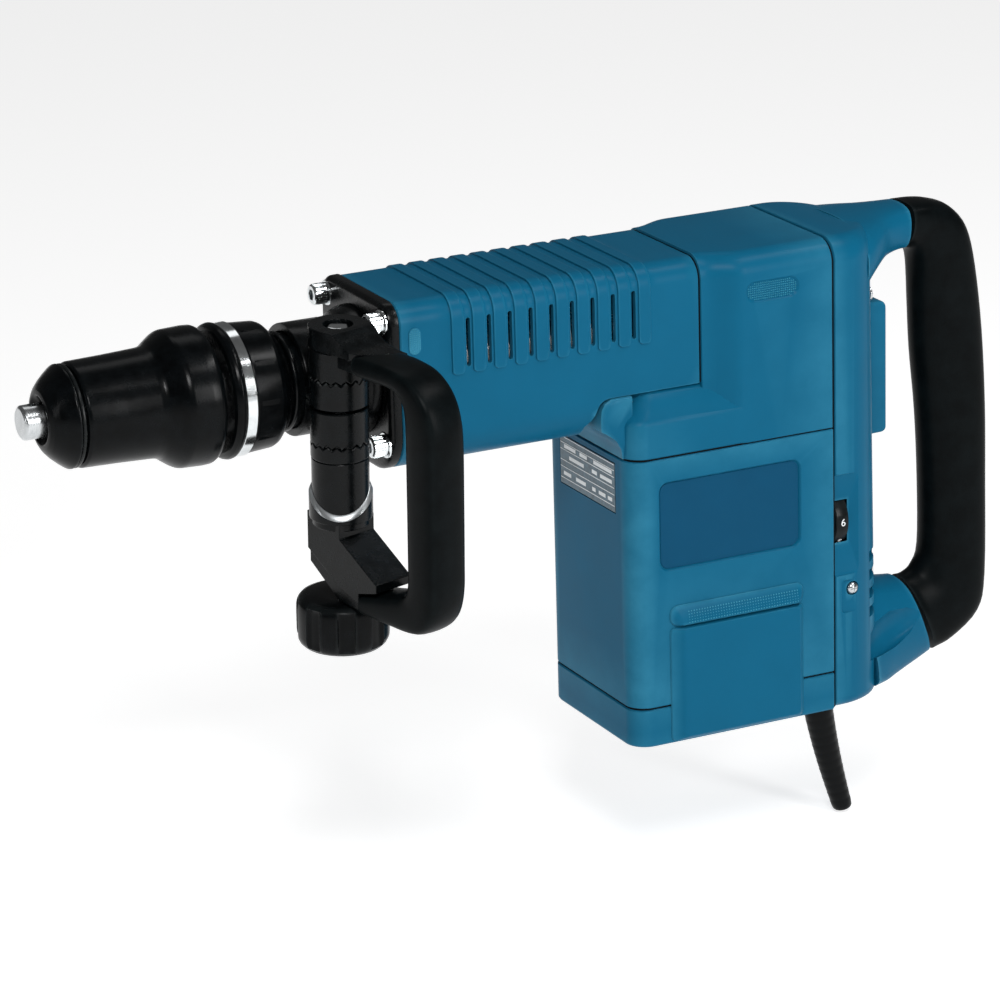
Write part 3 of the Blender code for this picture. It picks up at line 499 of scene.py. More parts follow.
def barrel():
    stations = [(-199.0, -0.6, 0), (-198.3, 0.0, 0), (-190, 0, 0), (-180, 0, 0)]
    for start in RIBS:
        end = start + RIB_WIDTH
        stations += [(start - 0.3, 0, 2.0), (start, 0.15, 1.9), (start + 0.12, RIB_RISE * 0.8, 1.6),
                     (start + 0.45, RIB_RISE, 1.0), (start + 1.4, RIB_RISE, 0.25), (start + 2.4, RIB_RISE, 0),
                     (end - 2.4, RIB_RISE, 0), (end - 1.6, RIB_RISE, 0.25), (end - 0.9, RIB_RISE * 0.92, 1.0),
                     (end - 0.35, RIB_RISE * 0.6, 1.6), (end, 0.1, 1.9), (end + 0.4, 0, 2.0)]
    stations += [(-42, 0, 0), (-34, 0, 0), (-25, 0, 0), (-17.4, 0, 0), (-16.6, -0.35, 0), (-16.1, -1.1, 0)]
    rings = []
    for x, rise, curl in stations:
        ring = barrel_ring(x, max(rise, 0), curl)
        if rise < 0:
            shrink = 1 + rise / 50
            ring = [(px, py * shrink, AXIS_Z + (pz - AXIS_Z) * shrink) for px, py, pz in ring]
        rings.append(ring)
    bm = skin(rings)
    cuts = [prism("X", round_rect(-40, 40, 186.5, 275.2, (21, 21, 9, 9), 6), -192, -5),
            rod("X", -205, -190, 26.5, AXIS)]
    for k in range(9):
        x = -158.5 + 12.65 * k
        cuts.append(prism("Y", round_rect(x - 1.3, x + 1.3, 239, 266.5, 1.25, 4), -60, 60))
    corner = [(-86.5, 170), (-86.5, 191.6), (-84.0, 194.2), (-81.6, 198.0), (-80.4, 202.2), (-79.0, 204.6),
              (-76.4, 206.4), (-73.0, 207.2), (-5, 207.4), (-5, 170)]
    cuts.append(prism("Y", corner, -60, 60))
    cuts += [rod("X", -210, -190, 3.4, spot, 20) for spot in SCREWS]
    bm = combined(bm, cuts)
    piece("barrel", bm, BLUE, "machine", "barrel_housing", smooth=28)
    for side, label in SIDES:
        pad = prism("Y", round_rect(-194.0, -187.0, 250.6, 265.4, 3.45),
                    *sorted((side * 43.0, side * 43.75)))
        field = knurl("Y", side, 43.75, -193.9, -187.1, 250.8, 265.2, 1.15, 0.5,
                      mask=pill((-190.5, 258), (0, 4.2), 2.9))
        piece(f"barrel_pad_{label}", pad, BLUE, "machine")
        piece(f"barrel_knurl_{label}", field, KNURL, "machine", smooth=20)


# ---------------------------------------------------------------- gear housing
def gear_housing():
    rings = []
    swelling = [(-14.8 + 2.4 * k, 48.35 - 4.35 * math.cos(math.pi * k / 10), 0.0) for k in range(11)]
    for x, half, inset in [(-15.6, 43.2, 0.0), (-15.2, 44.0, 0.0), *swelling, (30, HALF_W, 0.0),
                           (63.2, HALF_W, 0.0), (63.6, HALF_W, 0.4), (64.0, HALF_W, 1.6)]:
        radii = (0.6, 0.6, 13 - inset, 13 - inset)
        outline = round_rect(-half + inset, half - inset, 170.6, 279.6 - inset, radii, 12)
        rings.append(laid("X", x, outline))
    rings[0] = [(x, y, z - 0.9) for x, y, z in rings[0]]
    bm = skin(rings)
    shelf = []
    for z, inset, shy in ((170.6, 1.3, 1.3), (171.0, 0.4, 0.4), (171.5, 0, 0), (189.6, 0, 0),
                          (191.4, 0.4, 0.4), (193.4, 1.6, 1.8), (197.0, 4.4, 4.4), (201.0, 6.6, 7.0),
                          (204.4, 8.0, 9.0), (206.6, 8.9, 12.0)):
        outline = round_rect(-66 + inset, 14 - shy * 0.4, -HALF_W + shy, HALF_W - shy, (12, 1, 1, 12), 10)
        shelf.append(laid("Z", z, outline))
    gusset = [(-60, 170.8), (-66.0, 170.8), (-66.8, 176.5), (-69.6, 181.8), (-74.0, 185.6), (-78.6, 188.4),
              (-79.0, 191.0), (-79.0, 196.0), (-78.4, 201.0), (-76.6, 204.2), (-72.0, 206.6), (-60, 206.7)]
    wing = []
    for y, inset in ((-45.0, 3.0), (-44.4, 1.2), (-43.6, 0.0), (43.6, 0.0), (44.4, 1.2), (45.0, 3.0)):
        wing.append([(x + inset * 0.9 if x < -64 else x, y, z + inset * (0.5 if z < 190 else -0.3))
                     for x, z in gusset])
    bm = combined(bm, [skin(shelf), skin(wing)], "UNION")
    cuts = []
    for side in (-1, 1):
        pocket = [(HALF_W + 1, 7.0, 43.6, 250.6, 264.2, 6.6), (HALF_W, 8.2, 42.4, 251.2, 263.6, 6.0),
                  (HALF_W - 0.5, 9.0, 41.6, 251.7, 263.1, 5.5), (HALF_W - 1.0, 9.6, 41.0, 252.2, 262.6, 5.0)]
        cuts.append(dish("Y", pocket, side, 8))
    inner = [(-62, 100), (-62, 202), (-11.8, 202), (-11.8, 275.6), (60.5, 275.6), (60.5, 100)]
    room = prism("Y", inner, -40, 40)
    mouth = box((-85, -30.5, AXIS_Z - 30), (-8, 30.5, AXIS_Z + 30))
    cuts += [room, mouth, rod("Z", 190, 210, 9.5, (-38, 0))]
    bm = combined(bm, cuts)
    piece("gear_case", bm, BLUE, "machine", "gear_housing", smooth=28)
    for side, label in SIDES:
        field = knurl("Y", side, HALF_W - 1.0, 9.8, 41.0, 252.3, 262.5, 1.3, 0.9,
                      mask=pill((25.4, 257.4), (10.8, 0), 4.6))
        piece(f"gear_pad_{label}", field, KNURL, "machine", smooth=20)


def gaskets():
    """The dark packing that shows in the seams between the housings."""
    outside, inside = (0.5, 0.5, 12.5, 12.5), (0.4, 0.4, 10, 10)
    made = [band("X", 63.8, 65.1, round_rect(-HALF_W + 1.2, HALF_W - 1.2, 1.2, 278.4, outside, 10),
                 round_rect(-HALF_W + 3.2, HALF_W - 3.2, 3.2, 276.4, inside, 10)),
            band("X", -16.2, -15.4, round_rect(-43.2, 43.2, 207.6, 278.3, outside, 10),
                 round_rect(-41.0, 41.0, 209.6, 276.2, inside, 10))]
    for z in (169.9, 22.7):
        outer = round_rect(-65.0, 63.6, -HALF_W + 1.0, HALF_W - 1.0, (11.0, 1, 1, 11.0), 10)
        inner = round_rect(-63.2, 61.4, -HALF_W + 3.2, HALF_W - 3.2, (9, 1, 1, 9), 10)
        made.append(band("Z", z - 0.2, z + 0.9, outer, inner))
    piece("seam_gaskets", merged(*made), SEAM, "machine")


# ---------------------------------------------------------------- motor
def plan(z, inset=0.0):
    """The motor housing's outline at a height."""
    outline = round_rect(-66.0 + inset, 64.2 - inset * 0.5, -HALF_W + inset, HALF_W - inset,
                         (12.0, 1.2, 1.2, 12.0), 10)
    return laid("Z", z, outline)


def motor():
    bm = skin([plan(23.3, 1.3), plan(23.7, 0.4), plan(24.2), plan(169.0), plan(169.5, 0.4),
               plan(169.9, 1.3)])
    room = prism("Z", round_rect(-62, 60.5, -48.7, 48.7, (8, 1, 1, 8), 4), 0, 200)
    cuts = [room]
    for side in (-1, 1):
        cuts.append(dish("Y", [(HALF_W + 0.3, -49.2, 43.2, 103.0, 156.8, 6.6),
                               (HALF_W - 0.25, -48.4, 42.4, 103.7, 156.0, 6.0),
                               (HALF_W - 0.9, -47.9, 41.9, 104.1, 155.6, 5.6),
                               (HALF_W - 1.6, -47.6, 41.6, 104.4, 155.3, 5.4)], side))
    cuts.append(box((-70, -34, 136), (-65.3, 34, 166)))
    bm = combined(bm, cuts)
    piece("motor_case", bm, BLUE, "machine", "motor_housing", smooth=28)
    for side, label in SIDES:
        panel = dish("Y", [(HALF_W - 2.2, -47.3, 41.3, 104.7, 155.0, 5.2),
                           (HALF_W - 1.35, -47.3, 41.3, 104.7, 155.0, 5.2),
                           (HALF_W - 1.2, -47.1, 41.1, 104.9, 154.8, 5.0)], side)
        piece(f"panel_{label}", panel, PANEL, "machine", f"name_panel_{label}")
    plate = box((-66.1, -33.4, 136.6), (-65.2, 33.4, 165.4))
    piece("data_plate", plate, PLATE, "machine", "rating_plate", bevel=0.2)
    lines = [box((-66.25, -32.6, z), (-66.0, 32.6, z + 0.45))
             for z in (140.0, 146.6, 150.6, 157.0, 161.0, 164.4)]
    lines += [box((-66.25, y, z), (-66.0, y + w, z + 2.2))
              for z, row in ((142.2, ((-30, 5), (-22, 8), (-10, 4), (2, 12), (20, 9))),
                             (152.6, ((-30, 14), (-12, 6), (4, 18))),
                             (158.4, ((-30, 22), (0, 9), (14, 14)))) for y, w in row]
    piece("data_plate_lines", merged(*lines), PAINT, "machine")

    rings = [plan(0.0, 1.5), plan(0.35, 0.6), plan(1.4), plan(9.0), plan(21.8), plan(22.3, 0.4),
             plan(22.7, 1.3)]
    cap = combined(skin(rings), [prism("Z", round_rect(-62, 60.5, -48.7, 48.7, (8, 1, 1, 8), 4), 4.5, 60)])
    piece("base", cap, BLUE, "machine", "base_cap", smooth=28)
    for side, label in SIDES:
        y = HALF_W + 0.3
        panel = dish("Y", [(y, -43.0, 43.2, 1.4, 69.6, 3.2), (y + 0.7, -42.6, 42.8, 1.6, 69.4, 3.0),
                           (y + 3.3, -36.6, 40.0, 3.4, 69.2, 2.6), (y + 3.8, -35.6, 39.2, 4.2, 68.9, 2.2),
                           (y + 3.9, -34.4, 38.2, 5.2, 68.3, 1.8)], side)
        strip = dish("Y", [(y, -43.0, 43.2, 70.6, 82.4, 5.0), (y + 0.9, -42.6, 42.8, 70.7, 81.8, 4.6),
                           (y + 2.1, -40.4, 41.6, 70.8, 79.6, 3.6), (y + 3.1, -37.6, 40.0, 71.0, 75.4, 2.0),
                           (y + 3.5, -36.6, 39.2, 71.3, 73.6, 1.0)], side)
        piece(f"cover_{label}", merged(panel, strip), BLUE, "machine", f"side_cover_{label}", smooth=24)
        lean = knurl("Y", side, y + 3.5, -33.0, 39.0, 71.6, 79.4, 1.7, 0.7, slope=-0.185)
        piece(f"cover_knurl_{label}", lean, KNURL, "machine", smooth=20)


# ---------------------------------------------------------------- rear housing and D handle
HANDLE = [
    # outer x, outer z, inner x, inner z, half width
    (92, 279.6, 92, 235, 45), (100, 279.9, 100, 243, 40.2), (109, 280.3, 110, 249.4, 32.6),
    (118, 280.6, 119, 252.4, 24.6), (129, 280.8, 129, 254.2, 19.4), (140, 280.8, 137.5, 254.5, 17.3),
    (150, 280.6, 142.5, 253, 17), (159, 279.2, 145, 249, 16.8), (169, 275, 146, 243, 16.8),
    (179, 263, 146.2, 232, 16.8), (185, 240, 146.5, 218, 16.8), (190, 200, 147.8, 190, 16.8),
    (192.5, 155, 151.5, 152, 16.8), (193, 110, 153.5, 110, 16.8), (193, 48, 153.5, 70, 16.8),
    (188, 25, 149, 58, 17), (170, 11, 144, 54, 17.5), (156, 6.5, 138, 53, 18.5), (140, 3.4, 125, 54, 25),
    (115, 0.6, 110, 57, 37), (98, 0.6, 98, 60, 46),
]
GRIP = (5, 17)  # the rubber grip's first and last station
SECTION = chaikin([(-1.0, 0.42), (-0.32, 1.0), (0.62, 1.0), (1.0, 0.60), (1.0, -0.60), (0.62, -1.0),
                   (-0.32, -1.0), (-1.0, -0.42)], 3)
ARM = chaikin([(-1.0, 0.55), (-0.5, 1.0), (0.55, 1.0), (1.0, 0.62), (1.0, -0.62), (0.55, -1.0),
               (-0.5, -1.0), (-1.0, -0.55)], 3)
FOOT = chaikin([(-1.0, 0.40), (-0.6, 0.62), (0.35, 1.0), (1.0, 1.0), (1.0, -1.0), (0.35, -1.0),
                (-0.6, -0.62), (-1.0, -0.40)], 3)


def handle_rings(stations, section):
    """The section laid across the handle at each station, 2 percent over the stations' depth."""
    rings = []
    for ox, oz, ix, iz, half in stations:
        middle = Vector(((ox + ix) / 2, 0, (oz + iz) / 2))
        reach = Vector(((ox - ix) / 2, 0, (oz - iz) / 2)) * 1.02
        rings.append([tuple(middle + reach * u + Vector((0, half * v, 0))) for u, v in section])
    return rings


def rear_ring(x, half, inset=0.0, top=280.0):
    radii = (min(7, half), min(7, half), min(13.5, half), min(13.5, half))
    return laid("X", x, round_rect(-half + inset, half - inset, inset, top - inset, radii, 12))


def rear_case():
    rings = [rear_ring(64.9, HALF_W, 1.6), rear_ring(65.3, HALF_W, 0.4), rear_ring(65.8, HALF_W)]
    for k in range(17):
        t = math.radians(90 * k / 16)
        x = 72 + 32 * math.sin(t)
        half = 12.0 + (HALF_W - 12.0) * math.cos(t)
        bulge = 3.2 * math.sin(2 * t) ** 2
        ring = rear_ring(x, half, 0, 280.0 - 2.4 * (1 - math.cos(t)))
        rings.append([(px + bulge * min(max((215 - pz) / 60, 0.0), 1.0), py, pz) for px, py, pz in ring])
    vents = []
    for k in range(4):
        z = 53.0 + 11.2 * k
        for side in (-1, 1):
            notch = prism("Y", round_rect(-7, 11, z - 3.1, z + 3.1, 3.0, 6), -9, 9)
            rotated(notch, side * 0.7, "Z", (0, 0, 0))
            # Small odd shifts keep the notch off the case's own edges, where the cut would leave slivers.
            vents.append(moved(notch, (98.4 + 0.17 * side, side * 40.8, 0.07)))
    bm = combined(skin(rings), vents)
    stations = catmull(HANDLE, 4)
    first, last = GRIP[0] * 4, GRIP[1] * 4
    low_arm = stations[last + 1:]
    rings = []
    for k, station in enumerate(low_arm):
        share = min(1.0, k / (len(low_arm) - 4))
        section = [tuple(a + share * (b - a) for a, b in zip(p, q)) for p, q in zip(ARM, FOOT)]
        rings += handle_rings([station], section)
    bm = combined(bm, [skin(handle_rings(stations[:first], ARM)), skin(rings)], "UNION")
    room = [(60, -48), (76, -48), (90, -33), (93, -14), (93, 14), (90, 33), (76, 48), (60, 48)]
    cuts = [prism("Z", room, 4.5, 274)]
    cuts.append(prism("Y", round_rect(90, 126, 146.4, 227.6, 1.0, 3), -11.6, 11.6))
    dial_well = [(2, 63.0, 84.6, 79.6, 143.0, 3.0), (-0.8, 63.4, 82.4, 81.2, 141.4, 2.2),
                 (-1.4, 63.6, 81.0, 82.6, 140.0, 1.8), (-4.2, 63.8, 77.0, 98.4, 126.6, 1.0),
                 (-4.4, 65.2, 75.2, 99.8, 125.2, 0.8), (-14, 65.2, 75.2, 99.8, 125.2, 0.8)]
    screw_well = [(1, 68.4, 84.6, 57.4, 78.2, 2.8), (-0.5, 69.0, 84.0, 58.0, 77.6, 2.4),
                  (-0.8, 69.3, 83.7, 58.3, 77.3, 2.1)]
    for well in (dial_well, screw_well):
        cuts.append(dish("Y", [(HALF_W + out, *outline) for out, *outline in well], -1))
    cuts.append(rod("Y", -60, -46, 4.2, (76.6, 72.0)))
    scoop = []
    for x, y, r in ((92, -44, 9), (104, -36.5, 11), (118, -30.0, 11.5), (132, -26.0, 9.5), (142, -22.5, 4)):
        scoop.append([(x, y + r * math.cos(t) * 0.75, 31 + (x - 92) * 0.10 + r * math.sin(t))
                      for t in turns(28)])
    cuts.append(skin(scoop))
    cuts.append(skin([[(x, -y, z) for x, y, z in ring] for ring in scoop]))
    cuts.append(turned("Z", [(-20, 10), (30, 10)], (79.6, 0), 40))
    bm = combined(bm, cuts)
    piece("rear_case", bm, BLUE, "machine", "rear_housing", smooth=30)
    start = tuple(a + 0.02 * (b - a) for a, b in zip(stations[first], stations[first + 1]))
    grip = handle_rings([start, *stations[first + 1:last + 1]], SECTION)
    piece("rear_handle_grip", skin(grip), RUBBER, "machine", "rear_grip", smooth=50)
    for number, (y, z) in enumerate(((-21.5, 236), (21.5, 236), (-21.5, 70), (21.5, 70)), 1):
        head = turned("X", [(106.6, 0), (106.6, 3.4), (106.1, 4.1), (104.8, 4.1), (104.8, 0)], (y, z), 32)
        slot_cut = [box((106.0, y - 2.4, z - 0.4), (108, y + 2.4, z + 0.4)),
                    box((106.0, y - 0.4, z - 2.4), (108, y + 0.4, z + 2.4))]
        piece(f"case_screw_{number}", combined(head, slot_cut), STEEL, "machine", f"rear_screw_{number}")


def controls():
    profile = softened([(101, 150), (104, 147), (122, 147.4), (124, 149), (124, 223.5), (122, 226.2),
                        (104, 227), (101, 224)], 1.5, True)
    rings = []
    for y, inset in ((-11, 1.3), (-10.6, 0.5), (-9.8, 0), (9.8, 0), (10.6, 0.5), (11, 1.3)):
        rings.append([(112.5 + (x - 112.5) * (1 - inset / 11.5), y, 187 + (z - 187) * (1 - inset / 40))
                      for x, z in profile])
    piece("switch_paddle", skin(rings), BLUE, "switch", "switch_rocker")

    centre = (-34.5, 112.5)
    rim = [(66.2, 0), (66.2, 16.6), (66.8, 17.3), (70.4, 17.8), (74.0, 17.3), (74.6, 16.6), (74.6, 0)]
    wheel = turned("X", rim, centre, 72)
    piece("dial_wheel", wheel, GLOSS, "dial", "speed_dial")
    for number in range(1, 7):
        turn = math.radians(45 * (6 - number))
        text = bpy.data.curves.new(f"numeral_{number}", "FONT")
        text.body = str(number)
        text.size, text.extrude = 6.2 * MM, 0.12 * MM
        text.align_x, text.align_y = "CENTER", "CENTER"
        figure = bpy.data.objects.new(f"dial_number_{number}", text)
        bpy.context.scene.collection.objects.link(figure)
        upright = Matrix.Rotation(math.radians(90), 4, "X")
        place = (Matrix.Translation(Vector((70.4, centre[0], centre[1])) * MM) @ Matrix.Rotation(turn, 4, "X")
                 @ Matrix.Translation(Vector((0, -17.85 * MM, 0))) @ upright)
        figure.matrix_world = place
        figure.data.materials.append(PAINT)
        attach(figure, "dial")

    dome = turned("Y", [(-HALF_W - 1.2, 0), (-HALF_W - 1.1, 1.0), (-HALF_W - 0.6, 2.2), (-HALF_W + 0.3, 3.2),
                        (-HALF_W + 1.4, 3.6), (-49, 3.6), (-49, 0)], (76.6, 72.0), 32)
    cross = [box((74.4, -56, 71.6), (78.8, -HALF_W - 0.2, 72.4)),
             box((76.2, -56, 69.8), (77.0, -HALF_W - 0.2, 74.2))]
    piece("service_screw", combined(dome, cross), STEEL, "machine", "service_lamp", slot="lamp_lens")


def boot():
    start, end = Vector((79.0, 0, 8.0)), Vector((99.8, 0, -86.2))
    along = (end - start).normalized()
    across = along.cross(Vector((0, 1, 0)))
    shape = [(0.0, 7.5), (0.03, 9.0), (0.08, 9.4), (0.16, 9.3)]
    for k in range(13):
        share = 0.20 + 0.058 * k
        radius = 9.1 - 3.0 * (share - 0.2) / 0.75
        shape += [(share, radius), (share + 0.012, radius), (share + 0.018, radius - 0.12),
                  (share + 0.034, radius - 0.12), (share + 0.040, radius - 0.03)]
    shape += [(0.972, 6.0), (0.988, 5.7), (0.997, 5.0), (1.0, 4.0)]
    rings = []
    for share, radius in shape:
        centre = start.lerp(end, share) + across * (-2.2 * math.sin(math.pi * share))
        rings.append([tuple(centre + across * radius * math.cos(t) + Vector((0, radius * math.sin(t), 0)))
                      for t in turns(40)])
    piece("cord_boot", skin(rings), BOOT, "machine", "cord_strain_relief")


# ---------------------------------------------------------------- side handle
def serrated(low, high, radius, low_teeth=0.0, high_teeth=0.0, teeth=18, edge=0.5):
    """A cylinder round the column whose rims zigzag where the teeth lock."""
    rings = []
    for z, r, depth in ((low, radius - edge, low_teeth), (low + edge, radius, low_teeth),
                        (low + edge + abs(low_teeth) + 0.5, radius, 0.0),
                        (high - edge - abs(high_teeth) - 0.5, radius, 0.0),
                        (high - edge, radius, high_teeth), (high, radius - edge, high_teeth)):
        ring = []
        for k, t in enumerate(turns(teeth * 4)):
            wave = abs((k % 4) - 2) - 1.0
            ring.append((COLUMN[0] + r * math.cos(t), COLUMN[1] + r * math.sin(t), z + depth * wave))
        rings.append(ring)
    return skin(rings)


def swung(radial, side, z):
    """A point radial millimetres out from the column and side across, at the handle's swing."""
    sin, cos = math.sin(SWING), math.cos(SWING)
    return (COLUMN[0] + radial * sin + side * cos, COLUMN[1] - radial * cos + side * sin, z)


def half_band(side):
    """Half of the clamp's band round the neck, above it for side 1 and below for side -1."""
    x0, x1, inner, outer = -248.5, -224.5, 26.7, 31.2
    rings = []
    start = -2.6 if side > 0 else 5.4
    for k in range(33):
        t = math.radians(start + (180 - 2 * start) * k / 32)
        section = softened([(x0, inner), (x0, outer), (x1, outer), (x1, inner)], 1.0, True)
        rings.append([(x, r * math.cos(t), AXIS_Z + side * r * math.sin(t)) for x, r in section])
    return skin(rings)


def clamp():
    for side, label in ((1, "upper"), (-1, "lower")):
        if side > 0:
            hub = serrated(AXIS_Z - 1.2, 248.5, HUB, 0.0, TOOTH)
        else:
            hub = serrated(212.9, AXIS_Z - 2.9, HUB, TOOTH, 0.0)
        rings = []
        for x, edge in ((-248.3, 1.0), (-247.3, 0.0), (-225.7, 0.0), (-224.7, 1.0)):
            low, high = (AXIS_Z - 1.3, 248 - edge) if side > 0 else (214 + edge, AXIS_Z - 2.8)
            rings.append((x, -43 + edge, -24 - 0.6 * edge, low, high, 2.0 - 0.5 * edge))
        block = dish("X", rings)
        bm = combined(hub, [block], "UNION")
        bm = combined(bm, [rod("X", -260, -215, 26.7, AXIS, 96), rod("Z", 200, 260, 4.5, COLUMN, 32)])
        bm = merged(bm, half_band(side))
        piece(f"jaw_{label}", bm, CASTING, "clamp", f"clamp_jaw_{label}", smooth=35)
    profile = [(268.0, 0), (268.0, 6.8), (275.6, 6.8), (276.4, 6.2), (277, 5.0), (277, 0)]
    head = turned("Z", profile, COLUMN, 6)
    shaft = rod("Z", 105, 268.4, 4.0, COLUMN, 32)
    piece("bolt", merged(head, shaft), CHROME, "side_handle", "clamp_bolt", bevel=0.3)


GRIP_PATH = [
    # outer reach, outer height, inner reach, inner height
    (34.4, 269.2, 34.4, 257.6), (37, 270.0, 37, 257.2), (46, 270.2, 45, 257.4), (55, 269.9, 53, 257.6),
    (66.5, 268.2, 58.5, 257.0), (76, 263.8, 62.5, 254.6), (84, 256.4, 65, 249.6), (89, 246, 65.8, 241),
    (91, 232, 66, 228), (91.3, 200, 66.3, 200), (91.3, 165, 66.6, 165), (91, 150, 66.6, 155),
    (88.5, 138, 66, 149.5), (83.5, 129.5, 64.2, 145), (76, 124, 60, 142.4), (66, 122.3, 54, 140.6),
    (54, 122.2, 46, 138.2), (42, 122.2, 38, 136), (31, 122.2, 31, 134.2), (28.6, 122.9, 28.6, 133.0),
]
GRIP_HALF = 13.0
START_SLANT = 0.62  # how far the grip's upper rim runs outward per millimetre across it
GRIP_SECTION = chaikin([(-1.0, 0.66), (-0.68, 1.0), (0.62, 1.0), (1.0, 0.72), (1.0, -0.72), (0.62, -1.0),
                        (-0.68, -1.0), (-1.0, -0.66)], 2)


def past_rim():
    """The space outside the slanted line where the grip's upper end begins."""
    start, half = 33.6, 20
    outline = ((start, 0), (start - half * START_SLANT, -half), (70, -half), (70, half),
               (start + half * START_SLANT, half))
    return skin([[swung(r, side, z) for r, side in outline] for z in (240, 290)])


def side_handle():
    hub = serrated(249.4, 266.0, HUB, TOOTH, 0.0)
    lip = [(4, 15.8), (18, 13.4), (60, 13.0), (60, -13.0), (18, -13.4), (4, -15.8)]
    back = [(-16.2 * math.sin(t), -16.2 * math.cos(t)) for t in (math.pi * k / 32 for k in range(1, 32))]
    plate = skin([[swung(r, side, z) for r, side in lip + back] for z in (266.4, 278)])
    ramp = [(9.4, 290), (9.4, 278.2), (12.5, 277.4), (17, 274.6), (22, 271.6), (27, 269.8), (34, 269.0),
            (75, 268.8), (75, 290)]
    over = skin([[swung(r, side, z) for r, z in ramp] for side in (-30, 30)])
    plate = combined(plate, [past_rim(), over, rod("Z", 267.8, 290, 8.2, COLUMN, 64)])
    tongue = skin([[swung(r, side, z) for r, z in ((2, 258.4), (50, 258.4), (50, 266.8), (2, 266.8))]
                   for side in (-10.5, 12)])
    tongue = combined(tongue, [past_rim()])
    piece("upper_arm", merged(plate, hub, tongue), CASTING, "side_handle", "aux_upper_arm", bevel=0.5,
          smooth=35)

    hub = serrated(203.6, 212.1, HUB, 0.0, TOOTH)
    core = rod("Z", 165.0, 203.4, 15.7, COLUMN, 96, 0.5)
    front = math.atan2(-0.900, -0.4355)  # the side where the cup's rim dips lowest
    low_rings, rim_rings = [], []
    # Steps are (height, 1 where that height is measured from the dipping rim, radius).
    for rings, steps in ((low_rings, ((169.0, 0, 17.2), (170.0, 0, 17.4), (-3.0, 1, 17.4), (-2.6, 1, 15.0),
                                      (169.0, 0, 15.0))),
                         (rim_rings, ((-3.2, 1, 15.5), (-3.0, 1, 17.4), (0.2, 1, 16.1), (0.4, 1, 15.5)))):
        for z, follows, radius in steps:
            ring = []
            for t in turns(96):
                rim = 187.0 - 12.6 * max(0.0, math.cos(t - front))
                ring.append((COLUMN[0] + radius * math.cos(t), COLUMN[1] + radius * math.sin(t),
                             z + follows * rim))
            rings.append(ring)
    block = [(-14.2, 171.0), (-14.2, 149.3), (13.1, 133.2), (28.2, 128.4), (28.2, 134.5), (43.3, 139.0),
             (43.3, 143.7), (12.9, 161.5), (12.9, 171.0)]
    rim = [(-13.4, 156.0), (-13.4, 141.5), (11.0, 125.0), (28.2, 124.4), (28.2, 133.0), (12.5, 140.0)]
    block = skin([[swung(r, side, z) for r, z in block] for side in (-12.2, 12.2)])
    rim = skin([[swung(r, side, z) for r, z in rim] for side in (-11.2, 11.2)])
    piece("lower_arm", merged(core, hub, skin(low_rings, looped=True), block, rim), CASTING,
          "side_handle", "aux_lower_arm", smooth=35, bevel=0.4)
    # The rim band is bright metal as a painted highlight on the cup's rim chamfer.
    piece("cup_rim", skin(rim_rings, looped=True), RIM_HIGHLIGHT, "side_handle", smooth=50)

    rings = []
    path = catmull(GRIP_PATH, 5)
    for index, (outer_r, outer_z, inner_r, inner_z) in enumerate(path):
        slant = START_SLANT * max(0.0, 1 - index / 14)
        rings.append([swung(inner_r + (outer_r - inner_r) * (u + 1) / 2 + slant * v * GRIP_HALF,
                            v * GRIP_HALF, inner_z + (outer_z - inner_z) * (u + 1) / 2)
                      for u, v in GRIP_SECTION])
    piece("side_grip", skin(rings), RUBBER, "side_handle", "aux_grip", smooth=50)


def knob():
    flutes = 8
    first = math.radians(-20)  # where the first flute is
    rings = []
    for z, radius, depth in ((94.5, 15, 0), (94.7, 20.0, 0), (95.4, 22.4, 0), (97.2, 24.2, 0.4),
                             (99.6, 25.3, 1.9), (102, 25.6, 2.2), (112, 25.7, 2.2), (117, 25.6, 2.2),
                             (119.4, 25.2, 1.6), (121.0, 24.6, 0.2), (122.6, 23.2, 0), (123.6, 20.6, 0),
                             (123.8, 10, 0)):
        ring = []
        for t in turns(160):
            r = radius - depth * min(max((math.cos(flutes * t) - 0.05) * 3.2, 0), 1)
            ring.append((COLUMN[0] + r * math.cos(t + first), COLUMN[1] + r * math.sin(t + first), z))
        rings.append(ring)
    bm = combined(skin(rings), [rod("Z", 104, 150, 4.5, COLUMN, 32)])
    piece("knob", bm, GLOSS, "knob", "clamp_knob", smooth=40)


# ---------------------------------------------------------------- finishes of the inner CAD nodes
FINISHES = {
    STEEL: ("tool_holder", "lock_roller_upper", "lock_roller_lower", "sleeve_spring", "hammer_cylinder",
            "piston", "striker", "anvil", "connecting_rod", "crank_gear", "motor_stator", "upper_bearing",
            "lower_bearing"),
    COPPER: ("armature",),
    CARBON: ("carbon_brush_left", "carbon_brush_right"),
    BOARD: ("control_module",),
    GLOSS: ("cooling_fan", "switch_block"),
}


def inner_finishes():
    for finish, names in FINISHES.items():
        for name in names:
            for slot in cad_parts[name].material_slots:
                slot.material = finish


# ---------------------------------------------------------------- stage, light and camera
def area(name, place, target, size, power):
    light = bpy.data.lights.new(name, "AREA")
    light.shape, light.size, light.size_y = "RECTANGLE", size[0], size[1]
    light.energy = power
    made = bpy.data.objects.new(name, light)
    made.location = place
    made.rotation_euler = (Vector(target) - Vector(place)).to_track_quat("-Z", "Y").to_euler()
    bpy.context.scene.collection.objects.link(made)


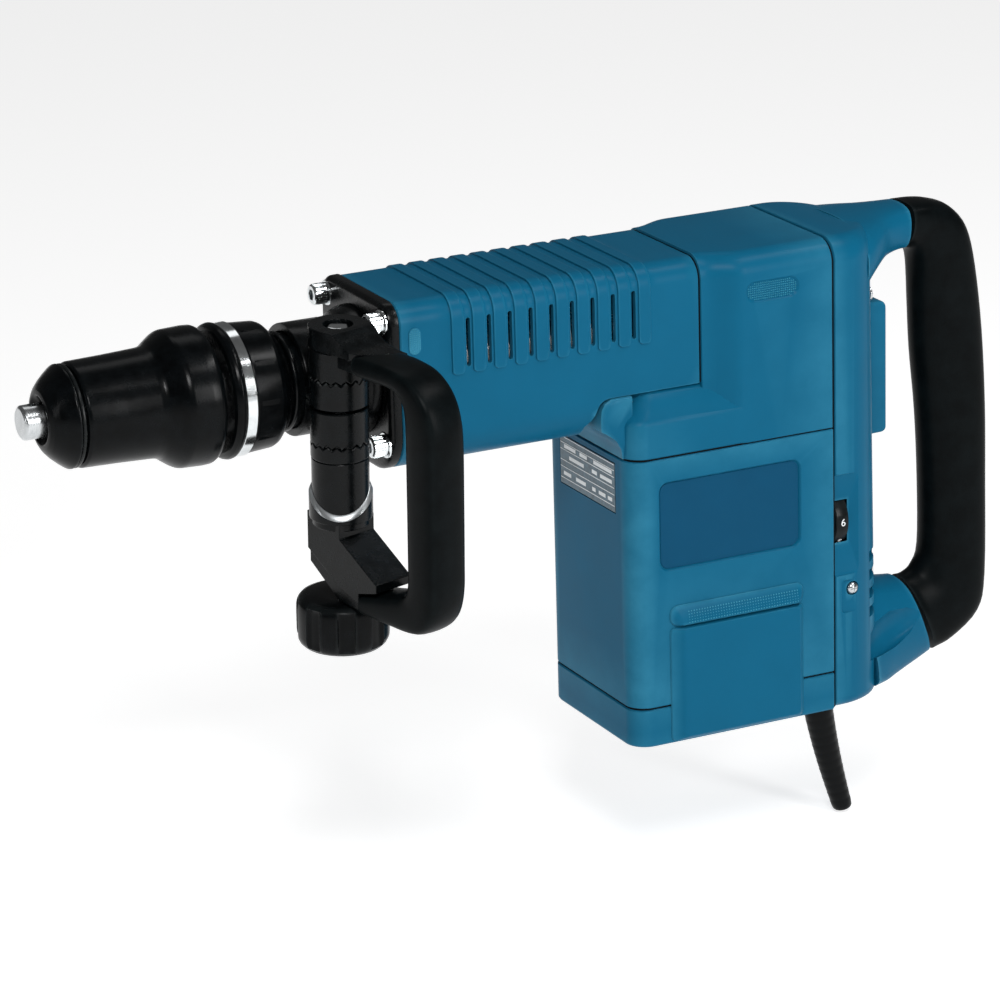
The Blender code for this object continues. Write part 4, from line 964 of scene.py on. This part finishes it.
def stage():
    """The floor, the white room and the lights, in metres."""
    reach, under, top = 40, -0.12, -0.0885  # the top is just under the cord boot's tip
    floor = as_object(box((-reach, -reach, under), (reach, reach, top)), "floor")
    made = bpy.data.materials.new("pale_floor")
    made.use_nodes = True
    shader = made.node_tree.nodes["Principled BSDF"]
    shader.inputs["Base Color"].default_value = (0.6, 0.6, 0.6, 1)
    shader.inputs["Roughness"].default_value = 0.95
    shader.inputs["Specular IOR Level"].default_value = 0.0
    shader.inputs["Emission Color"].default_value = (1, 1, 1, 1)
    shader.inputs["Emission Strength"].default_value = 0.74
    floor.data.materials.append(made)
    world = bpy.data.worlds.new("studio")
    world.use_nodes = True
    tree = world.node_tree
    backdrop = tree.nodes["Background"]
    backdrop.inputs["Strength"].default_value = 1.0
    glow = node(tree, "ShaderNodeBackground", Strength=0.10)
    path = node(tree, "ShaderNodeLightPath")
    pick = node(tree, "ShaderNodeMixShader")
    for shade in (backdrop, glow):
        shade.inputs["Color"].default_value = (1, 1, 1, 1)
    tree.links.new(path.outputs["Is Camera Ray"], pick.inputs["Fac"])
    tree.links.new(glow.outputs["Background"], pick.inputs[1])
    tree.links.new(backdrop.outputs["Background"], pick.inputs[2])
    tree.links.new(pick.outputs["Shader"], tree.nodes["World Output"].inputs["Surface"])
    bpy.context.scene.world = world
    bpy.context.scene.view_settings.view_transform = "Standard"
    middle = (-0.05, 0, 0.16)
    area("key", (-0.7, -1.4, 1.5), middle, (0.4, 0.4), 18)
    area("top", (0.50, -0.50, 1.5), middle, (0.9, 0.14), 8)
    area("side", (-2.2, -0.3, 0.8), middle, (0.06, 0.9), 2)
    area("right", (0.7, -2.2, 0.9), middle, (0.45, 1.0), 23)
    area("rear", (0.2, 1.2, 2.2), middle, (1.2, 0.6), 3)


def camera():
    """The photograph's camera; its place is in metres."""
    azimuth, elevation, roll = math.radians(25.82), math.radians(18.18), math.radians(-1.65)
    forward = Vector((math.sin(azimuth) * math.cos(elevation), math.cos(azimuth) * math.cos(elevation),
                      -math.sin(elevation)))
    right = Vector((math.cos(azimuth), -math.sin(azimuth), 0))
    up = right.cross(forward)
    across = right * math.cos(roll) + up * math.sin(roll)
    upward = up * math.cos(roll) - right * math.sin(roll)
    made = bpy.data.objects.new("camera", bpy.data.cameras.new("camera"))
    made.data.sensor_width, made.data.lens = 36, 162
    made.data.clip_end = 100
    place = Matrix.Translation((-1.1649, -2.1568, 0.9310))
    made.matrix_world = place @ Matrix((across, upward, -forward)).transposed().to_4x4()
    bpy.context.scene.collection.objects.link(made)
    bpy.context.scene.camera = made


for build in (chuck, flange, barrel, gear_housing, gaskets, motor, rear_case, controls, boot, clamp,
              side_handle, knob, inner_finishes, stage, camera):
    build()
